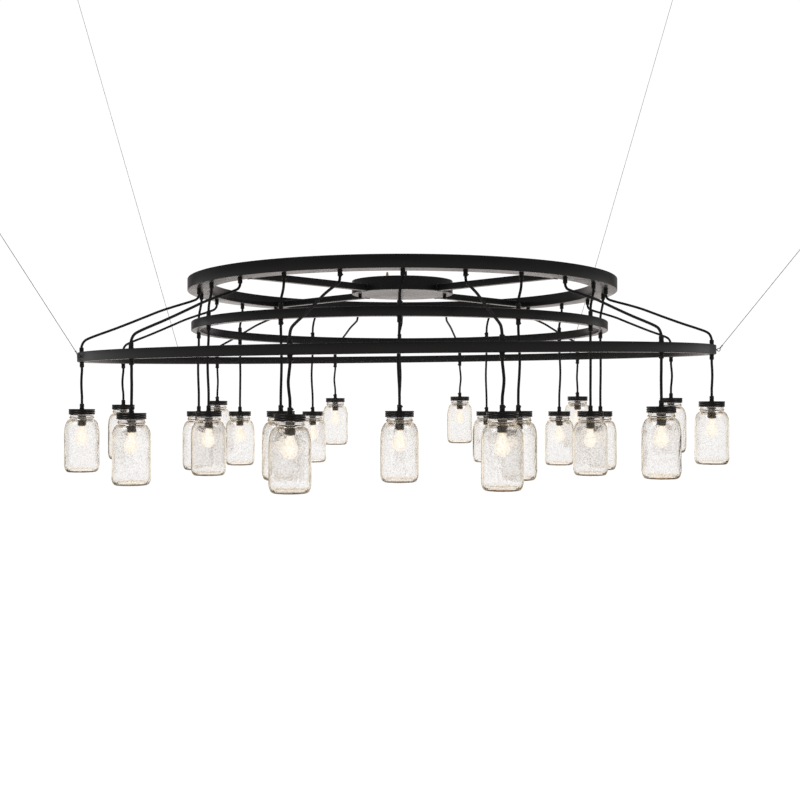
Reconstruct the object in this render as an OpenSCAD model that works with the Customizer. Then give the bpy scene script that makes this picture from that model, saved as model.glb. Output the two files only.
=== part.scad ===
// Three-ring chandelier with twenty-four jar pendants.
// Millimetres, +Z up. The origin is the middle of the mounting bar's top face, level with the canopy's rim.
// The front of the chandelier faces -Y. Angles round the rings count from the front towards +X.

/* [Canopy] */
// Outside diameter of the canopy pan
canopy_d = 300; // [260:1:400]
// Height of the canopy pan, rim to underside
canopy_h = 40; // [36:1:60]
// Thickness of the sheet steel of the pan, arms and rings
sheet_t = 1.6; // [1:0.1:2.5]
// Distance from the canopy's outside to each mounting screw
stud_inset = 24.5; // [15:0.5:40]
// Width of the mounting bar
bar_w = 24; // [18:1:40]
// Thickness of the mounting bar
bar_t = 3; // [2:0.5:5]
// Length of the mounting bar past each screw
bar_end = 10; // [8:0.5:14]
// Distance between the mounting bar's two box holes
box_hole_pitch = 89; // [70:0.5:100]
// Diameter of the box holes
box_hole_d = 5.4; // [4:0.1:7]
// Diameter of the mounting screws
stud_d = 5; // [4:0.1:7]
// Diameter of the dome nuts
nut_d = 12; // [10:0.5:18]
// Height of the dome nuts
nut_h = 13; // [11:0.5:18]
// Height of the hanging strap above the rim
strap_h = 31; // [24:1:45]
// Width of the hanging strap
strap_w = 12; // [8:0.5:20]

/* [Arms] */
// Side of the square tube of the four arms
arm_side = 19; // [16:0.5:24]

/* [Top ring] */
// Outside diameter of the top ring
top_ring_d = 1256; // [1100:1:1400]
// Radial width of the top ring
top_ring_w = 62; // [50:1:80]
// Height of the top ring
top_ring_h = 34; // [26:1:36]

/* [Middle ring] */
// Outside diameter of the middle ring
middle_ring_d = 1219; // [1100:1:1300]
// Clear height between the top ring and the middle ring
middle_gap = 90; // [60:1:160]
// How far the middle ring hangs to the right of the axis
middle_shift = -8; // [-15:0.5:15]

/* [Outer ring] */
// Outside diameter of the outer ring
outer_ring_d = 1829; // [1700:1:2000]
// Height from the middle ring's underside down to the middle of the outer ring's top
outer_gap = 52; // [30:1:80]
// How far the outer ring hangs to the right of the axis
outer_shift = -16; // [-20:0.5:20]
// Angle by which the outer ring's front hangs low
outer_tip = 1.9; // [0:0.1:3]
// Angle by which the outer ring's left side hangs low
outer_lean = 0.7; // [0:0.1:2]
// Side of the square tube of the middle and outer rings
tube_side = 25; // [20:0.5:32]

/* [Cord grips] */
// Outside diameter of a cord grip's barrel
grip_d = 12; // [11:0.5:16]
// Height of a cord grip
grip_h = 15; // [12:0.5:20]
// Diameter of a cord grip's flange
flange_d = 13.5; // [12.5:0.5:22]
// Thickness of a cord grip's flange
flange_h = 1.5; // [1:0.5:5]
// Diameter of a cord grip's shank
shank_d = 10; // [9:0.1:10.8]
// Height of the tapered nose of a cord grip
nose_h = 1.5; // [1:0.5:4]
// Diameter of the grips' side screws
screw_d = 4; // [3:0.1:4.5]
// How far the side screws stand out of the barrel
screw_out = 2; // [1:0.25:4]

/* [Cords] */
// Diameter of the pendant cords
cord_d = 7; // [5:0.1:7.5]
// Height from the middle ring's underside to its jars' lids
inner_drop = 231; // [150:1:400]
// Height from the outer ring's underside to its jars' lids
outer_drop = 130; // [90:1:300]

/* [Jars] */
// Diameter of the jar's body
jar_d = 95; // [88:0.5:104]
// Height of the jar, base to lip
jar_h = 173; // [168:1:190]
// Outside diameter of the jar's neck
neck_d = 63; // [58:0.5:68]
// Thickness of the jar's glass
glass_t = 3; // [2:0.25:4]
// Thickness of the jar's base
base_t = 6; // [4:0.5:8]
// Width of the rounding at the jar's foot
heel_w = 11.5; // [8:0.5:14]
// Height of the rounding at the jar's foot
heel_h = 24; // [12:0.5:30]
// Distance from the lip down to the start of the shoulder
shoulder_depth = 68; // [64:0.5:80]
// Height of the shoulder
shoulder_h = 41; // [30:0.5:44]
// Height of the thread ridges over the neck
thread_out = 1.7; // [1:0.1:2]

/* [Lids] */
// Height of a lid
lid_h = 15; // [12:0.5:18]
// Thickness of the lid's top plate
lid_t = 1; // [0.8:0.1:1.6]
// Thickness of the lid's side
lid_wall = 1.8; // [1.5:0.1:2.5]
// Depth of the groove round the lid
lid_groove = 0.9; // [0.4:0.1:1.1]

/* [Lamps] */
// Outside diameter of a lamp socket
socket_d = 23.5; // [22:0.5:28]
// Length of a lamp socket
socket_l = 44; // [36:1:52]
// Thickness of the socket's top
socket_top_t = 3; // [2:0.5:5]
// Diameter of the bulb's metal base
base_d = 17; // [14:0.5:18]
// Length of the bulb's metal base
bulb_base_l = 24; // [18:1:28]
// Diameter of the bulb
bulb_d = 36; // [28:1:46]
// Length of the bulb's glass
bulb_l = 52; // [44:1:70]

/* [Suspension cables] */
// Diameter of the wire cables
cable_d = 1.8; // [1.2:0.1:3]
// Length of the back left cable, from ring to end loop
back_left_cable_l = 1510; // [600:10:2000]
// Length of the back right cable, from ring to end loop
back_right_cable_l = 1700; // [600:10:2000]
// Length of the two front cables, from ring to end loop
front_cable_l = 440; // [300:10:1600]
// Outside diameter of the screw eyes in the outer ring's side
eye_d = 10; // [8:0.5:14]
// Thickness of the screw eyes' wire
eye_wire = 2; // [1.5:0.25:2.5]
// Thickness of the collar between a screw eye and the ring
eye_collar_t = 1.5; // [1:0.25:3]
// Outside diameter of the end loops
loop_d = 16; // [12:0.5:24]
// Thickness of the end loops' wire
loop_wire = 3; // [2:0.25:4]
// Length of the crimped sleeves
ferrule_l = 12; // [8:0.5:20]
// Diameter of the crimped sleeves
ferrule_d = 4; // [3.5:0.25:6]

/* [Hidden] */
$fn = 48;
// Clearance between a shank or bolt and its hole, on the radius
hole_fit = 0.2;
// Clearance round a cord in its bore, on the radius
cord_fit = 0.3;
// Gap between pieces that come apart or turn
part_gap = 0.3;
// Running clearance of the dome nuts on their screws, on the radius
nut_fit = 0.05;
// Overshoot of cutting shapes
over = 1;

pendants = 12;
step = 360 / pendants;
inner_angles = [for (i = [0 : pendants - 1]) i * step];
outer_angles = [for (i = [0 : pendants - 1]) (i + 0.5) * step];

// Radii
canopy_r = canopy_d / 2;
stud_x = canopy_r - stud_inset;
top_outer_r = top_ring_d / 2;
top_inner_r = top_outer_r - top_ring_w;
top_cord_r = top_outer_r - top_ring_w / 2;
middle_cord_r = (middle_ring_d - tube_side) / 2;
outer_cord_r = (outer_ring_d - tube_side) / 2;
bore_r = cord_d / 2 + cord_fit;
shank_hole_r = shank_d / 2 + hole_fit;

// Heights
plate_z = -canopy_h;
middle_top_z = plate_z - middle_gap;
middle_z = middle_top_z - tube_side / 2;
outer_top_z = middle_top_z - tube_side - outer_gap;
outer_z = outer_top_z - tube_side / 2;
grip_reach = tube_side / 2 + grip_h;
shank_l = sheet_t + 2;
screw_z = grip_h - nose_h - screw_d / 2 - 1;

// Arms and wiring
arm_fit = 0.1;
arm_angles = [45, 135, 225, 315];
arm_names = ["arm_front_right", "arm_back_right", "arm_back_left", "arm_front_left"];
harness_d = 8;
branch_d = 7;
passage_d = branch_d + 2 * part_gap;
wire_sides = 10;
harness_z = plate_z + sheet_t + harness_d / 2;
harness_r = top_inner_r + sheet_t + harness_d;
pan_loop_r = 100;
lead_d = 3.5;
connector_at = [[-45, 26], [30, 34], [52, 28]];
connector_top_z = [31, -3, -3];
connector_d = 12;
connector_h = 24;
connector_wall = 2;

// Dome nuts
nut_top_z = plate_z - part_gap;
nut_cap = 4;
nut_bore_h = nut_h - nut_cap;
stud_end_z = nut_top_z - nut_bore_h + 1;
lock_nut_d = 9;
lock_nut_h = 4;

// Pendants, measured from the lid's top
lid_inner_r = neck_d / 2 + thread_out + 0.5;
lid_r = lid_inner_r + lid_wall;
lid_edge = 0.8;
jar_top_z = -lid_t - part_gap;
socket_top_z = -lid_t;
lid_shank_l = lid_t + socket_top_t;
socket_bore_r = base_d / 2 + part_gap;
bulb_top_z = socket_top_z - socket_l - 2;
bulb_neck_r = base_d / 2;
cord_tail = lid_t + 1;

// Jar outline
body_r = jar_d / 2;
neck_r = neck_d / 2;
thread_r = neck_r + thread_out;
shoulder_z = jar_h - shoulder_depth;
collar_z = shoulder_z + shoulder_h + 3;
collar_h = 5;
collar_out = 2.5;
thread_h = 4;
thread_depths = [15, 8];
punt_h = 2;
punt_w = 6;

// Cable anchors round the outer ring: [angle, rise outwards for each unit of height, length]
cable_rows = [[-126, 0.41, back_left_cable_l], [138, 0.51, back_right_cable_l],
    [-65, 0.635, front_cable_l], [76, 0.79, front_cable_l]];
eye_r = outer_ring_d / 2 + eye_collar_t + eye_d / 2;
eye_collar_d = eye_wire + 2;
cable_start = eye_d / 2 + part_gap;

// Cord sweeps
cord_sides = 8;
// How far a cord reaches up into the top ring
cord_head = 8;
// Run of a cord from the top ring's grip out to the outer ring's upper grip, level:
// [radius, height, share of the outer ring's own offset]
outer_route = [
    [597, -55, 0], [598, -60.5, 0], [600.5, -65.2, 0.01], [604.3, -68.9, 0.02], [609.2, -71.4, 0.03],
    [616, -73.7, 0.06], [630, -78, 0.1], [660, -86.5, 0.2], [700, -99, 0.33], [740, -114.5, 0.46],
    [780, -130, 0.6], [820, -145, 0.73], [856, -157.5, 0.85], [874, -164, 0.91], [885, -168.5, 0.95],
    [892, -172.5, 0.97], [897, -178, 0.99], [900, -184, 1], [902, -192, 1]];
// Run of a cord from the top ring's grip to the middle ring's upper grip:
// [share of the way down, sideways, share of the way across]
inner_route = [[0, 0, 0], [0.15, 0, 0.03], [0.4, 1.5, 0.35], [0.7, 1, 0.8], [0.88, 0, 0.98], [1, 0, 1]];
// Hang of a cord from a ring's lower grip to its lid's grip: [share of the way down, sideways, outwards]
drop_route = [[0, 0, 0], [0.1, 0.5, 0], [0.25, 2, 1], [0.45, 3.5, 1.5], [0.62, 2.5, 1],
    [0.8, 0.5, 0], [0.93, 0, 0], [1, 0, 0]];

function two_digits(n) = str(n < 10 ? "0" : "", n);
function jar_name(ring, i) = str("jar_", ring, "_", two_digits(i + 1));
inner_jar_names = [for (i = [0 : pendants - 1]) jar_name("inner", i)];
outer_jar_names = [for (i = [0 : pendants - 1]) jar_name("outer", i)];

// A point at an angle round the axis, counted from the front
function around(r, angle, z = 0) = [r * sin(angle), -r * cos(angle), z];

// The outer ring's own frame: tipped forwards, leaned to the left, then moved to its place
function tipped(p) =
    let (y = p.y * cos(outer_tip) - p.z * sin(outer_tip), z = p.y * sin(outer_tip) + p.z * cos(outer_tip))
    [p.x * cos(outer_lean) - z * sin(outer_lean) + outer_shift, y,
        p.x * sin(outer_lean) + z * cos(outer_lean) + outer_z];

// Ends of the cords' straight stretches
function middle_point(angle, h) = around(middle_cord_r, angle, middle_z + h) + [middle_shift, 0, 0];
function outer_point(angle, h) = tipped(around(outer_cord_r, angle, h));
// Tops of the lids
function inner_lid(angle) = middle_point(angle, -tube_side / 2 - inner_drop);
function outer_lid(angle) =
    let (p = outer_point(angle, -grip_reach))
    [p.x, p.y, p.z + grip_h - outer_drop];
lids = concat([for (a = inner_angles) inner_lid(a)], [for (a = outer_angles) outer_lid(a)]);
lid_angles = concat(inner_angles, outer_angles);

// A hanging stretch from one point down to another above a lid
function drop_points(from, to, angle, side) = [for (row = drop_route)
    from + row[0] * (to - from) + side * row[1] * [cos(angle), sin(angle), 0] + around(row[2], angle)];

function inner_path(angle, side) =
    let (from = around(top_cord_r, angle, plate_z - grip_h), to = middle_point(angle, grip_reach),
        exit = middle_point(angle, -grip_reach), lid = inner_lid(angle))
    concat(
        [around(top_cord_r, angle, plate_z + cord_head)],
        [for (row = inner_route)
            [from.x + row[2] * (to.x - from.x), from.y + row[2] * (to.y - from.y),
                from.z + row[0] * (to.z - from.z)] + side * row[1] * [cos(angle), sin(angle), 0]],
        drop_points(exit, lid + [0, 0, grip_h], angle, side),
        [lid - [0, 0, cord_tail]]);

function outer_path(angle, side) =
    let (entry = outer_point(angle, grip_reach), exit = outer_point(angle, -grip_reach),
        level = around(outer_cord_r, angle, outer_z + grip_reach), lid = outer_lid(angle))
    concat(
        [around(top_cord_r, angle, plate_z + cord_head)],
        [for (row = outer_route) around(row[0], angle, row[1]) + row[2] * (entry - level)],
        drop_points(exit, lid + [0, 0, grip_h], angle, side),
        [lid - [0, 0, cord_tail]]);

// A tube of the cord's thickness along points that stay near one upright plane
function unit(v) = v / norm(v);
module cord_tube(path, angle) {
    last = len(path) - 1;
    across = [cos(angle), sin(angle), 0];
    points = [for (i = [0 : last])
        let (t = unit(path[min(i + 1, last)] - path[max(i - 1, 0)]),
            u = unit(across - (across * t) * t), v = cross(t, u))
        for (k = [0 : cord_sides - 1])
            let (a = k * 360 / cord_sides)
            path[i] + cord_d / 2 * (cos(a) * u + sin(a) * v)];
    walls = [for (i = [0 : last - 1], k = [0 : cord_sides - 1])
        let (m = (k + 1) % cord_sides, low = i * cord_sides, high = low + cord_sides)
        each [[low + k, high + k, high + m], [low + k, high + m, low + m]]];
    caps = [[for (k = [0 : cord_sides - 1]) k],
        [for (k = [cord_sides - 1 : -1 : 0]) last * cord_sides + k]];
    polyhedron(points, concat(walls, caps));
}

// A hollow ring of rectangular section, its middle at the origin
module ring_tube(outer_r, width, height) {
    rotate_extrude($fn = 180)
        translate([outer_r - width, -height / 2])
            difference() {
                square([width, height]);
                translate([sheet_t, sheet_t])
                    square([width - 2 * sheet_t, height - 2 * sheet_t]);
            }
}

// A cord grip standing on z = 0, its shank below
module grip(shank) {
    difference() {
        rotate_extrude()
            polygon([[bore_r, -shank], [shank_d / 2, -shank], [shank_d / 2, 0], [flange_d / 2, 0],
                [flange_d / 2, flange_h], [grip_d / 2, flange_h], [grip_d / 2, grip_h - nose_h],
                [bore_r + 1, grip_h], [bore_r, grip_h]]);
        translate([0, 0, screw_z])
            rotate([0, 90, 0])
                cylinder(h = grip_d, r = screw_d / 2 + hole_fit);
    }
}

// The side screw of a grip
module grip_screw() {
    translate([bore_r, 0, screw_z])
        rotate([0, 90, 0])
            cylinder(h = grip_d / 2 - bore_r + screw_out, d = screw_d);
}

module upside_down() {
    rotate([180, 0, 0]) children();
}

// Places that hold grips
module at_top_ring(angles) {
    for (a = angles)
        translate(around(top_cord_r, a, plate_z)) rotate([0, 0, a]) upside_down() children();
}
module over_middle_ring() {
    for (a = inner_angles)
        translate(middle_point(a, tube_side / 2)) rotate([0, 0, a]) children();
}
module under_middle_ring() {
    for (a = inner_angles)
        translate(middle_point(a, -tube_side / 2)) rotate([0, 0, a]) upside_down() children();
}
module on_outer_frame() {
    translate([outer_shift, 0, outer_z]) rotate([outer_tip, -outer_lean, 0]) children();
}
module over_outer_ring() {
    for (a = outer_angles)
        on_outer_frame()
            translate(around(outer_cord_r, a, tube_side / 2)) rotate([0, 0, a]) children();
}
module under_outer_ring() {
    for (a = outer_angles)
        on_outer_frame()
            translate(around(outer_cord_r, a, -tube_side / 2)) rotate([0, 0, a]) upside_down() children();
}
module at_lids() {
    for (i = [0 : len(lids) - 1])
        translate(lids[i]) rotate([0, 0, lid_angles[i]]) children();
}

// Open pan with a flat underside, held up by the two mounting screws
module canopy_pan() {
    color([0.08, 0.08, 0.085])
    difference() {
        rotate_extrude($fn = 96)
            polygon([[0, plate_z], [canopy_r, plate_z], [canopy_r, 0], [canopy_r - sheet_t, 0],
                [canopy_r - sheet_t, plate_z + sheet_t], [0, plate_z + sheet_t]]);
        for (x = [-stud_x, stud_x])
            translate([x, 0, plate_z - over])
                cylinder(h = sheet_t + 2 * over, r = stud_d / 2 + hole_fit);
        for (a = arm_angles)
            translate([0, 0, harness_z]) rotate([0, 0, a - 90]) rotate([0, 90, 0])
                translate([0, 0, canopy_r - 2 * sheet_t])
                    cylinder(h = 3 * sheet_t, d = passage_d);
    }
}

// Flat bar that fastens to the ceiling box
module mounting_bar() {
    color([0.55, 0.55, 0.57])
    difference() {
        translate([-stud_x - bar_end, -bar_w / 2, -bar_t])
            cube([2 * (stud_x + bar_end), bar_w, bar_t]);
        for (x = [-stud_x, stud_x])
            translate([x, 0, -bar_t - over])
                cylinder(h = bar_t + 2 * over, r = stud_d / 2 + hole_fit);
        for (x = [-box_hole_pitch / 2, box_hole_pitch / 2])
            translate([x, 0, -bar_t - over])
                cylinder(h = bar_t + 2 * over, d = box_hole_d);
    }
}

// Two screws with lock nuts under the bar
module mounting_screws() {
    color([0.6, 0.6, 0.6])
    for (x = [-stud_x, stud_x])
        translate([x, 0, 0]) {
            translate([0, 0, stud_end_z])
                cylinder(h = -stud_end_z, d = stud_d);
            translate([0, 0, -bar_t - lock_nut_h])
                cylinder(h = lock_nut_h, d = lock_nut_d, $fn = 6);
        }
}

// Dome nut, blind at its foot
module canopy_nut(x) {
    color([0.06, 0.06, 0.06])
    translate([x, 0, nut_top_z])
        rotate_extrude()
            polygon(concat(
                [[stud_d / 2 + nut_fit, -nut_bore_h], [stud_d / 2 + nut_fit, 0], [nut_d / 2, 0],
                    [nut_d / 2, -nut_h / 2]],
                [for (a = [15 : 15 : 90]) [nut_d / 2 * cos(a), -nut_h / 2 - nut_h / 2 * sin(a)]],
                [[0, -nut_bore_h]]));
}

// Bent strap that stands on the bar, with a rounded top to hook into
module hanging_strap() {
    outer = bar_w / 2 - 1;
    color([0.07, 0.07, 0.07])
    translate([strap_w / 2 + 2, 0, 0])
        rotate([90, 0, 90])
            translate([0, 0, -strap_w / 2])
                linear_extrude(height = strap_w)
                    difference() {
                        union() {
                            translate([-outer, 0]) square([2 * outer, strap_h - outer]);
                            translate([0, strap_h - outer]) circle(r = outer);
                        }
                        translate([-outer + bar_t, -over])
                            square([2 * (outer - bar_t), strap_h - outer + over]);
                        translate([0, strap_h - outer]) circle(r = outer - bar_t);
                    }
}

// Cone-shaped twist connectors, open below
module wire_connectors() {
    color([0.78, 0.62, 0.42])
    for (i = [0 : len(connector_at) - 1])
        translate([connector_at[i].x, connector_at[i].y, connector_top_z[i]])
            rotate_extrude()
                polygon([[0, 0], [connector_d / 4, 0], [connector_d / 2, -connector_h],
                    [connector_d / 2 - connector_wall, -connector_h],
                    [lead_d / 2 + part_gap, -connector_h / 2], [0, -connector_h / 2]]);
}

// Wires in the pan, the arms and the top ring
module wire_harness() {
    color([0.12, 0.12, 0.12]) {
        translate([0, 0, harness_z])
            rotate_extrude($fn = 96) translate([harness_r, 0]) circle(d = harness_d, $fn = wire_sides);
        translate([0, 0, harness_z])
            rotate_extrude() translate([pan_loop_r, 0]) circle(d = harness_d, $fn = wire_sides);
        for (a = arm_angles)
            translate([0, 0, harness_z]) rotate([0, 0, a - 90]) rotate([0, 90, 0])
                translate([0, 0, pan_loop_r]) cylinder(h = harness_r - pan_loop_r, d = branch_d, $fn = wire_sides);
        for (i = [0 : len(connector_at) - 1]) {
            p = connector_at[i];
            lead_top_z = connector_top_z[i] - connector_h / 2 - part_gap;
            translate([p.x, p.y, harness_z - lead_d / 2])
                cylinder(h = lead_top_z - harness_z + lead_d / 2, d = lead_d, $fn = wire_sides);
            translate([p.x, p.y, harness_z]) rotate([0, 0, atan2(p.y, p.x)]) rotate([0, 90, 0])
                cylinder(h = pan_loop_r - norm(p), d = lead_d - 1, $fn = wire_sides);
        }
    }
}

// Square tube from the canopy to the top ring, cut to both curves
module arm(i) {
    color([0.075, 0.075, 0.08])
    difference() {
        rotate([0, 0, arm_angles[i] - 90])
            translate([0, -arm_side / 2, plate_z])
                difference() {
                    cube([top_inner_r, arm_side, arm_side]);
                    translate([-over, sheet_t, sheet_t])
                        cube([top_inner_r + 2 * over, arm_side - 2 * sheet_t, arm_side - 2 * sheet_t]);
                }
        translate([0, 0, plate_z - over])
            cylinder(h = arm_side + 2 * over, r = canopy_r + arm_fit);
        translate([0, 0, plate_z - over])
            difference() {
                cylinder(h = arm_side + 2 * over, r = top_inner_r + over);
                translate([0, 0, -over])
                    cylinder(h = arm_side + 4 * over, r = top_inner_r - arm_fit);
            }
    }
}

module top_ring() {
    color([0.075, 0.075, 0.08])
    difference() {
        translate([0, 0, plate_z + top_ring_h / 2]) ring_tube(top_outer_r, top_ring_w, top_ring_h);
        at_top_ring(concat(inner_angles, outer_angles))
            translate([0, 0, -sheet_t - over]) cylinder(h = sheet_t + 2 * over, r = shank_hole_r);
        for (a = arm_angles)
            translate([0, 0, harness_z]) rotate([0, 0, a - 90]) rotate([0, 90, 0])
                translate([0, 0, top_inner_r - sheet_t])
                    cylinder(h = 3 * sheet_t, d = passage_d);
    }
}

module middle_ring() {
    color([0.075, 0.075, 0.08])
    difference() {
        translate([middle_shift, 0, middle_z]) ring_tube(middle_ring_d / 2, tube_side, tube_side);
        for (a = inner_angles)
            translate(middle_point(a, -tube_side / 2 - over))
                cylinder(h = tube_side + 2 * over, r = shank_hole_r);
    }
}

module outer_ring() {
    color([0.075, 0.075, 0.08])
    on_outer_frame()
        difference() {
            ring_tube(outer_ring_d / 2, tube_side, tube_side);
            for (a = outer_angles)
                translate(around(outer_cord_r, a, -tube_side / 2 - over))
                    cylinder(h = tube_side + 2 * over, r = shank_hole_r);
        }
}

module top_ring_grips() {
    color([0.06, 0.06, 0.06]) at_top_ring(concat(inner_angles, outer_angles)) grip(shank_l);
}
module middle_upper_grips() {
    color([0.06, 0.06, 0.06]) over_middle_ring() grip(shank_l);
}
module middle_lower_grips() {
    color([0.06, 0.06, 0.06]) under_middle_ring() grip(shank_l);
}
module outer_upper_grips() {
    color([0.06, 0.06, 0.06]) over_outer_ring() grip(shank_l);
}
module outer_lower_grips() {
    color([0.06, 0.06, 0.06]) under_outer_ring() grip(shank_l);
}
module lid_grips() {
    color([0.06, 0.06, 0.06]) at_lids() grip(lid_shank_l);
}
module grip_screws() {
    color([0.2, 0.2, 0.2]) {
        at_top_ring(concat(inner_angles, outer_angles)) grip_screw();
        over_middle_ring() grip_screw();
        under_middle_ring() grip_screw();
        over_outer_ring() grip_screw();
        under_outer_ring() grip_screw();
        at_lids() grip_screw();
    }
}

// Cords through the middle ring to the inner jars; their waves lean to alternate sides
module inner_cords() {
    color([0.04, 0.04, 0.04])
    for (i = [0 : pendants - 1])
        cord_tube(inner_path(inner_angles[i], i % 2 == 0 ? -1 : 1), inner_angles[i]);
}
// Cords that run out to the outer ring and down through it to the outer jars
module outer_cords() {
    color([0.04, 0.04, 0.04])
    for (i = [0 : pendants - 1])
        cord_tube(outer_path(outer_angles[i], i % 2 == 0 ? 1 : -1), outer_angles[i]);
}

// Cap with two ridges, and a hole for its cord grip
module jar_lids() {
    half = (lid_h - lid_edge) / 2;
    color([0.05, 0.05, 0.05])
    at_lids()
        rotate_extrude()
            polygon([[shank_hole_r, 0], [lid_r - lid_edge, 0], [lid_r, -lid_edge], [lid_r, -half],
                [lid_r - lid_groove, -half - lid_edge], [lid_r, -half - 2 * lid_edge], [lid_r, -lid_h],
                [lid_inner_r, -lid_h], [lid_inner_r, -lid_t], [shank_hole_r, -lid_t]]);
}

// Cup that hangs under the lid on the grip's shank
module lamp_sockets() {
    color([0.18, 0.18, 0.18])
    at_lids()
        rotate_extrude()
            polygon([[shank_hole_r, socket_top_z], [socket_d / 2, socket_top_z],
                [socket_d / 2, socket_top_z - socket_l], [socket_bore_r, socket_top_z - socket_l],
                [socket_bore_r, socket_top_z - socket_top_t], [shank_hole_r, socket_top_z - socket_top_t]]);
}

module bulb_bases() {
    color([0.75, 0.7, 0.55])
    at_lids()
        translate([0, 0, bulb_top_z]) cylinder(h = bulb_base_l, d = base_d);
}

// Pear-shaped glass: a neck that widens by a cosine into the round end
module bulbs() {
    globe_r = bulb_d / 2;
    neck_l = bulb_l - globe_r;
    color([1, 0.96, 0.85])
    at_lids()
        translate([0, 0, bulb_top_z])
            rotate_extrude()
                polygon(concat(
                    [[0, 0]],
                    [for (t = [0 : 1 / 6 : 1])
                        [bulb_neck_r + (globe_r - bulb_neck_r) * (1 - cos(180 * t)) / 2, -neck_l * t]],
                    [for (a = [15 : 15 : 90]) [globe_r * cos(a), -neck_l - globe_r * sin(a)]]));
}

// Outline of half the jar's wall, base at z = 0
function heel(inset, foot) = [for (a = [0 : 15 : 90])
    [body_r - heel_w + (heel_w - inset) * sin(a), foot + (heel_h - foot) * (1 - cos(a))]];
function shoulder(inset) = [for (a = [0 : 15 : 90])
    [neck_r - inset + (body_r - neck_r) * cos(a), shoulder_z + (shoulder_h - inset) * sin(a)]];
function ridge(low, height, out) =
    [[neck_r, low], [neck_r + out, low + height / 3], [neck_r + out, low + height * 2 / 3], [neck_r, low + height]];
function backwards(list) = [for (i = [len(list) - 1 : -1 : 0]) list[i]];
jar_outline = concat(
    [[0, punt_h], [body_r - heel_w - punt_w, punt_h]],
    heel(0, 0), shoulder(0), ridge(collar_z, collar_h, collar_out),
    [for (d = thread_depths) each ridge(jar_h - d, thread_h, thread_out)],
    [[neck_r, jar_h], [neck_r - glass_t, jar_h]],
    backwards(shoulder(glass_t)), backwards(heel(glass_t, base_t)), [[0, base_t]]);
module jar(lid) {
    color([0.85, 0.9, 0.9, 0.4])
    translate(lid + [0, 0, jar_top_z - jar_h]) rotate_extrude() polygon(jar_outline);
}

// Places of the cables: middle of the screw eye beside the outer ring, and direction upwards and outwards
function cable_eye(row) = tipped(around(eye_r, row[0]));
function cable_slope(row) = unit(around(row[1], row[0], 1));
module along(row, start) {
    d = cable_slope(row);
    translate(cable_eye(row) + start * d)
        rotate([0, acos(d.z), atan2(d.y, d.x)])
            children();
}

// Ring of round wire, standing in the plane of the cable's lean
module wire_ring(angle, ring_d, wire_d) {
    rotate([90, 0, angle - 90])
        rotate_extrude() translate([(ring_d - wire_d) / 2, 0]) circle(d = wire_d, $fn = 24);
}
module suspension_cables() {
    color([0.62, 0.6, 0.57])
    for (row = cable_rows)
        along(row, cable_start + ferrule_l)
            cylinder(h = row[2] - cable_start - 2 * ferrule_l, d = cable_d, $fn = 16);
}
module cable_ferrules() {
    color([0.6, 0.6, 0.6])
    for (row = cable_rows) {
        along(row, cable_start) cylinder(h = ferrule_l, d = ferrule_d);
        along(row, row[2] - ferrule_l) cylinder(h = ferrule_l, d = ferrule_d);
    }
}
// Screw eyes in the outer ring's side
module cable_eyes() {
    color([0.3, 0.3, 0.3])
    for (row = cable_rows) {
        translate(cable_eye(row)) wire_ring(row[0], eye_d, eye_wire);
        on_outer_frame()
            rotate([0, 0, row[0] - 90]) rotate([0, 90, 0])
                translate([0, 0, outer_ring_d / 2])
                    cylinder(h = eye_collar_t + eye_wire / 2, d = eye_collar_d);
    }
}
// Closed loops at the cables' far ends
module cable_loops() {
    color([0.6, 0.6, 0.6])
    for (row = cable_rows)
        translate(cable_eye(row) + (row[2] + loop_d / 2 + part_gap) * cable_slope(row))
            wire_ring(row[0], loop_d, loop_wire);
}

canopy_pan();
mounting_bar();
mounting_screws();
hanging_strap();
wire_connectors();
wire_harness();
for (i = [0 : len(arm_names) - 1])
    arm(i);
top_ring();
middle_ring();
outer_ring();
top_ring_grips();
middle_upper_grips();
middle_lower_grips();
outer_upper_grips();
outer_lower_grips();
lid_grips();
grip_screws();
inner_cords();
outer_cords();
jar_lids();
lamp_sockets();
bulb_bases();
bulbs();
suspension_cables();
cable_eyes();
cable_ferrules();
cable_loops();
canopy_nut(-stud_x);  // canopy_nut_left
canopy_nut(stud_x);  // canopy_nut_right
for (i = [0 : pendants - 1])
    jar(inner_lid(inner_angles[i]));
for (i = [0 : pendants - 1])
    jar(outer_lid(outer_angles[i]));
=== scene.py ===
"""Three-ring chandelier with jar pendants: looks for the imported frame.

Laid out as an add-on: settings in property groups, one operator for each group of pieces, a panel that lists
them, and a main function that runs them in order.
"""
import math
from collections import namedtuple

import bmesh
import bpy
import numpy as np
from bpy.props import FloatProperty, FloatVectorProperty, IntProperty, PointerProperty
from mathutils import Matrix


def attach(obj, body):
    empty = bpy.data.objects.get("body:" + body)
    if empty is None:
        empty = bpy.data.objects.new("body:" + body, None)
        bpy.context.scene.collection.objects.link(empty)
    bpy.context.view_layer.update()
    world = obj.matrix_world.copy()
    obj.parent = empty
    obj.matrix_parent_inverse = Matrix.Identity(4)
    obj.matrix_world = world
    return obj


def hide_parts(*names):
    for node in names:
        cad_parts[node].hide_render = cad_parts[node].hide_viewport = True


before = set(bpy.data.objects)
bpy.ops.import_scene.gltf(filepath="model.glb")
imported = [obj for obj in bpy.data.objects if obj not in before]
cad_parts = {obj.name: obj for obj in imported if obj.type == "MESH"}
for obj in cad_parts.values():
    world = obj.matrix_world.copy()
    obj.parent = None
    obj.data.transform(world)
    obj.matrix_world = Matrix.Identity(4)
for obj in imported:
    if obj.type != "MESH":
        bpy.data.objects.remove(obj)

bl_info = {
    "name": "Jar pendant chandelier",
    "version": (1, 0, 0),
    "blender": (4, 5, 0),
    "location": "View3D > Sidebar > Chandelier",
    "description": "Builds the rings, pendants and jars of a three-ring chandelier round its packed frame",
    "category": "Object",
}

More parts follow.
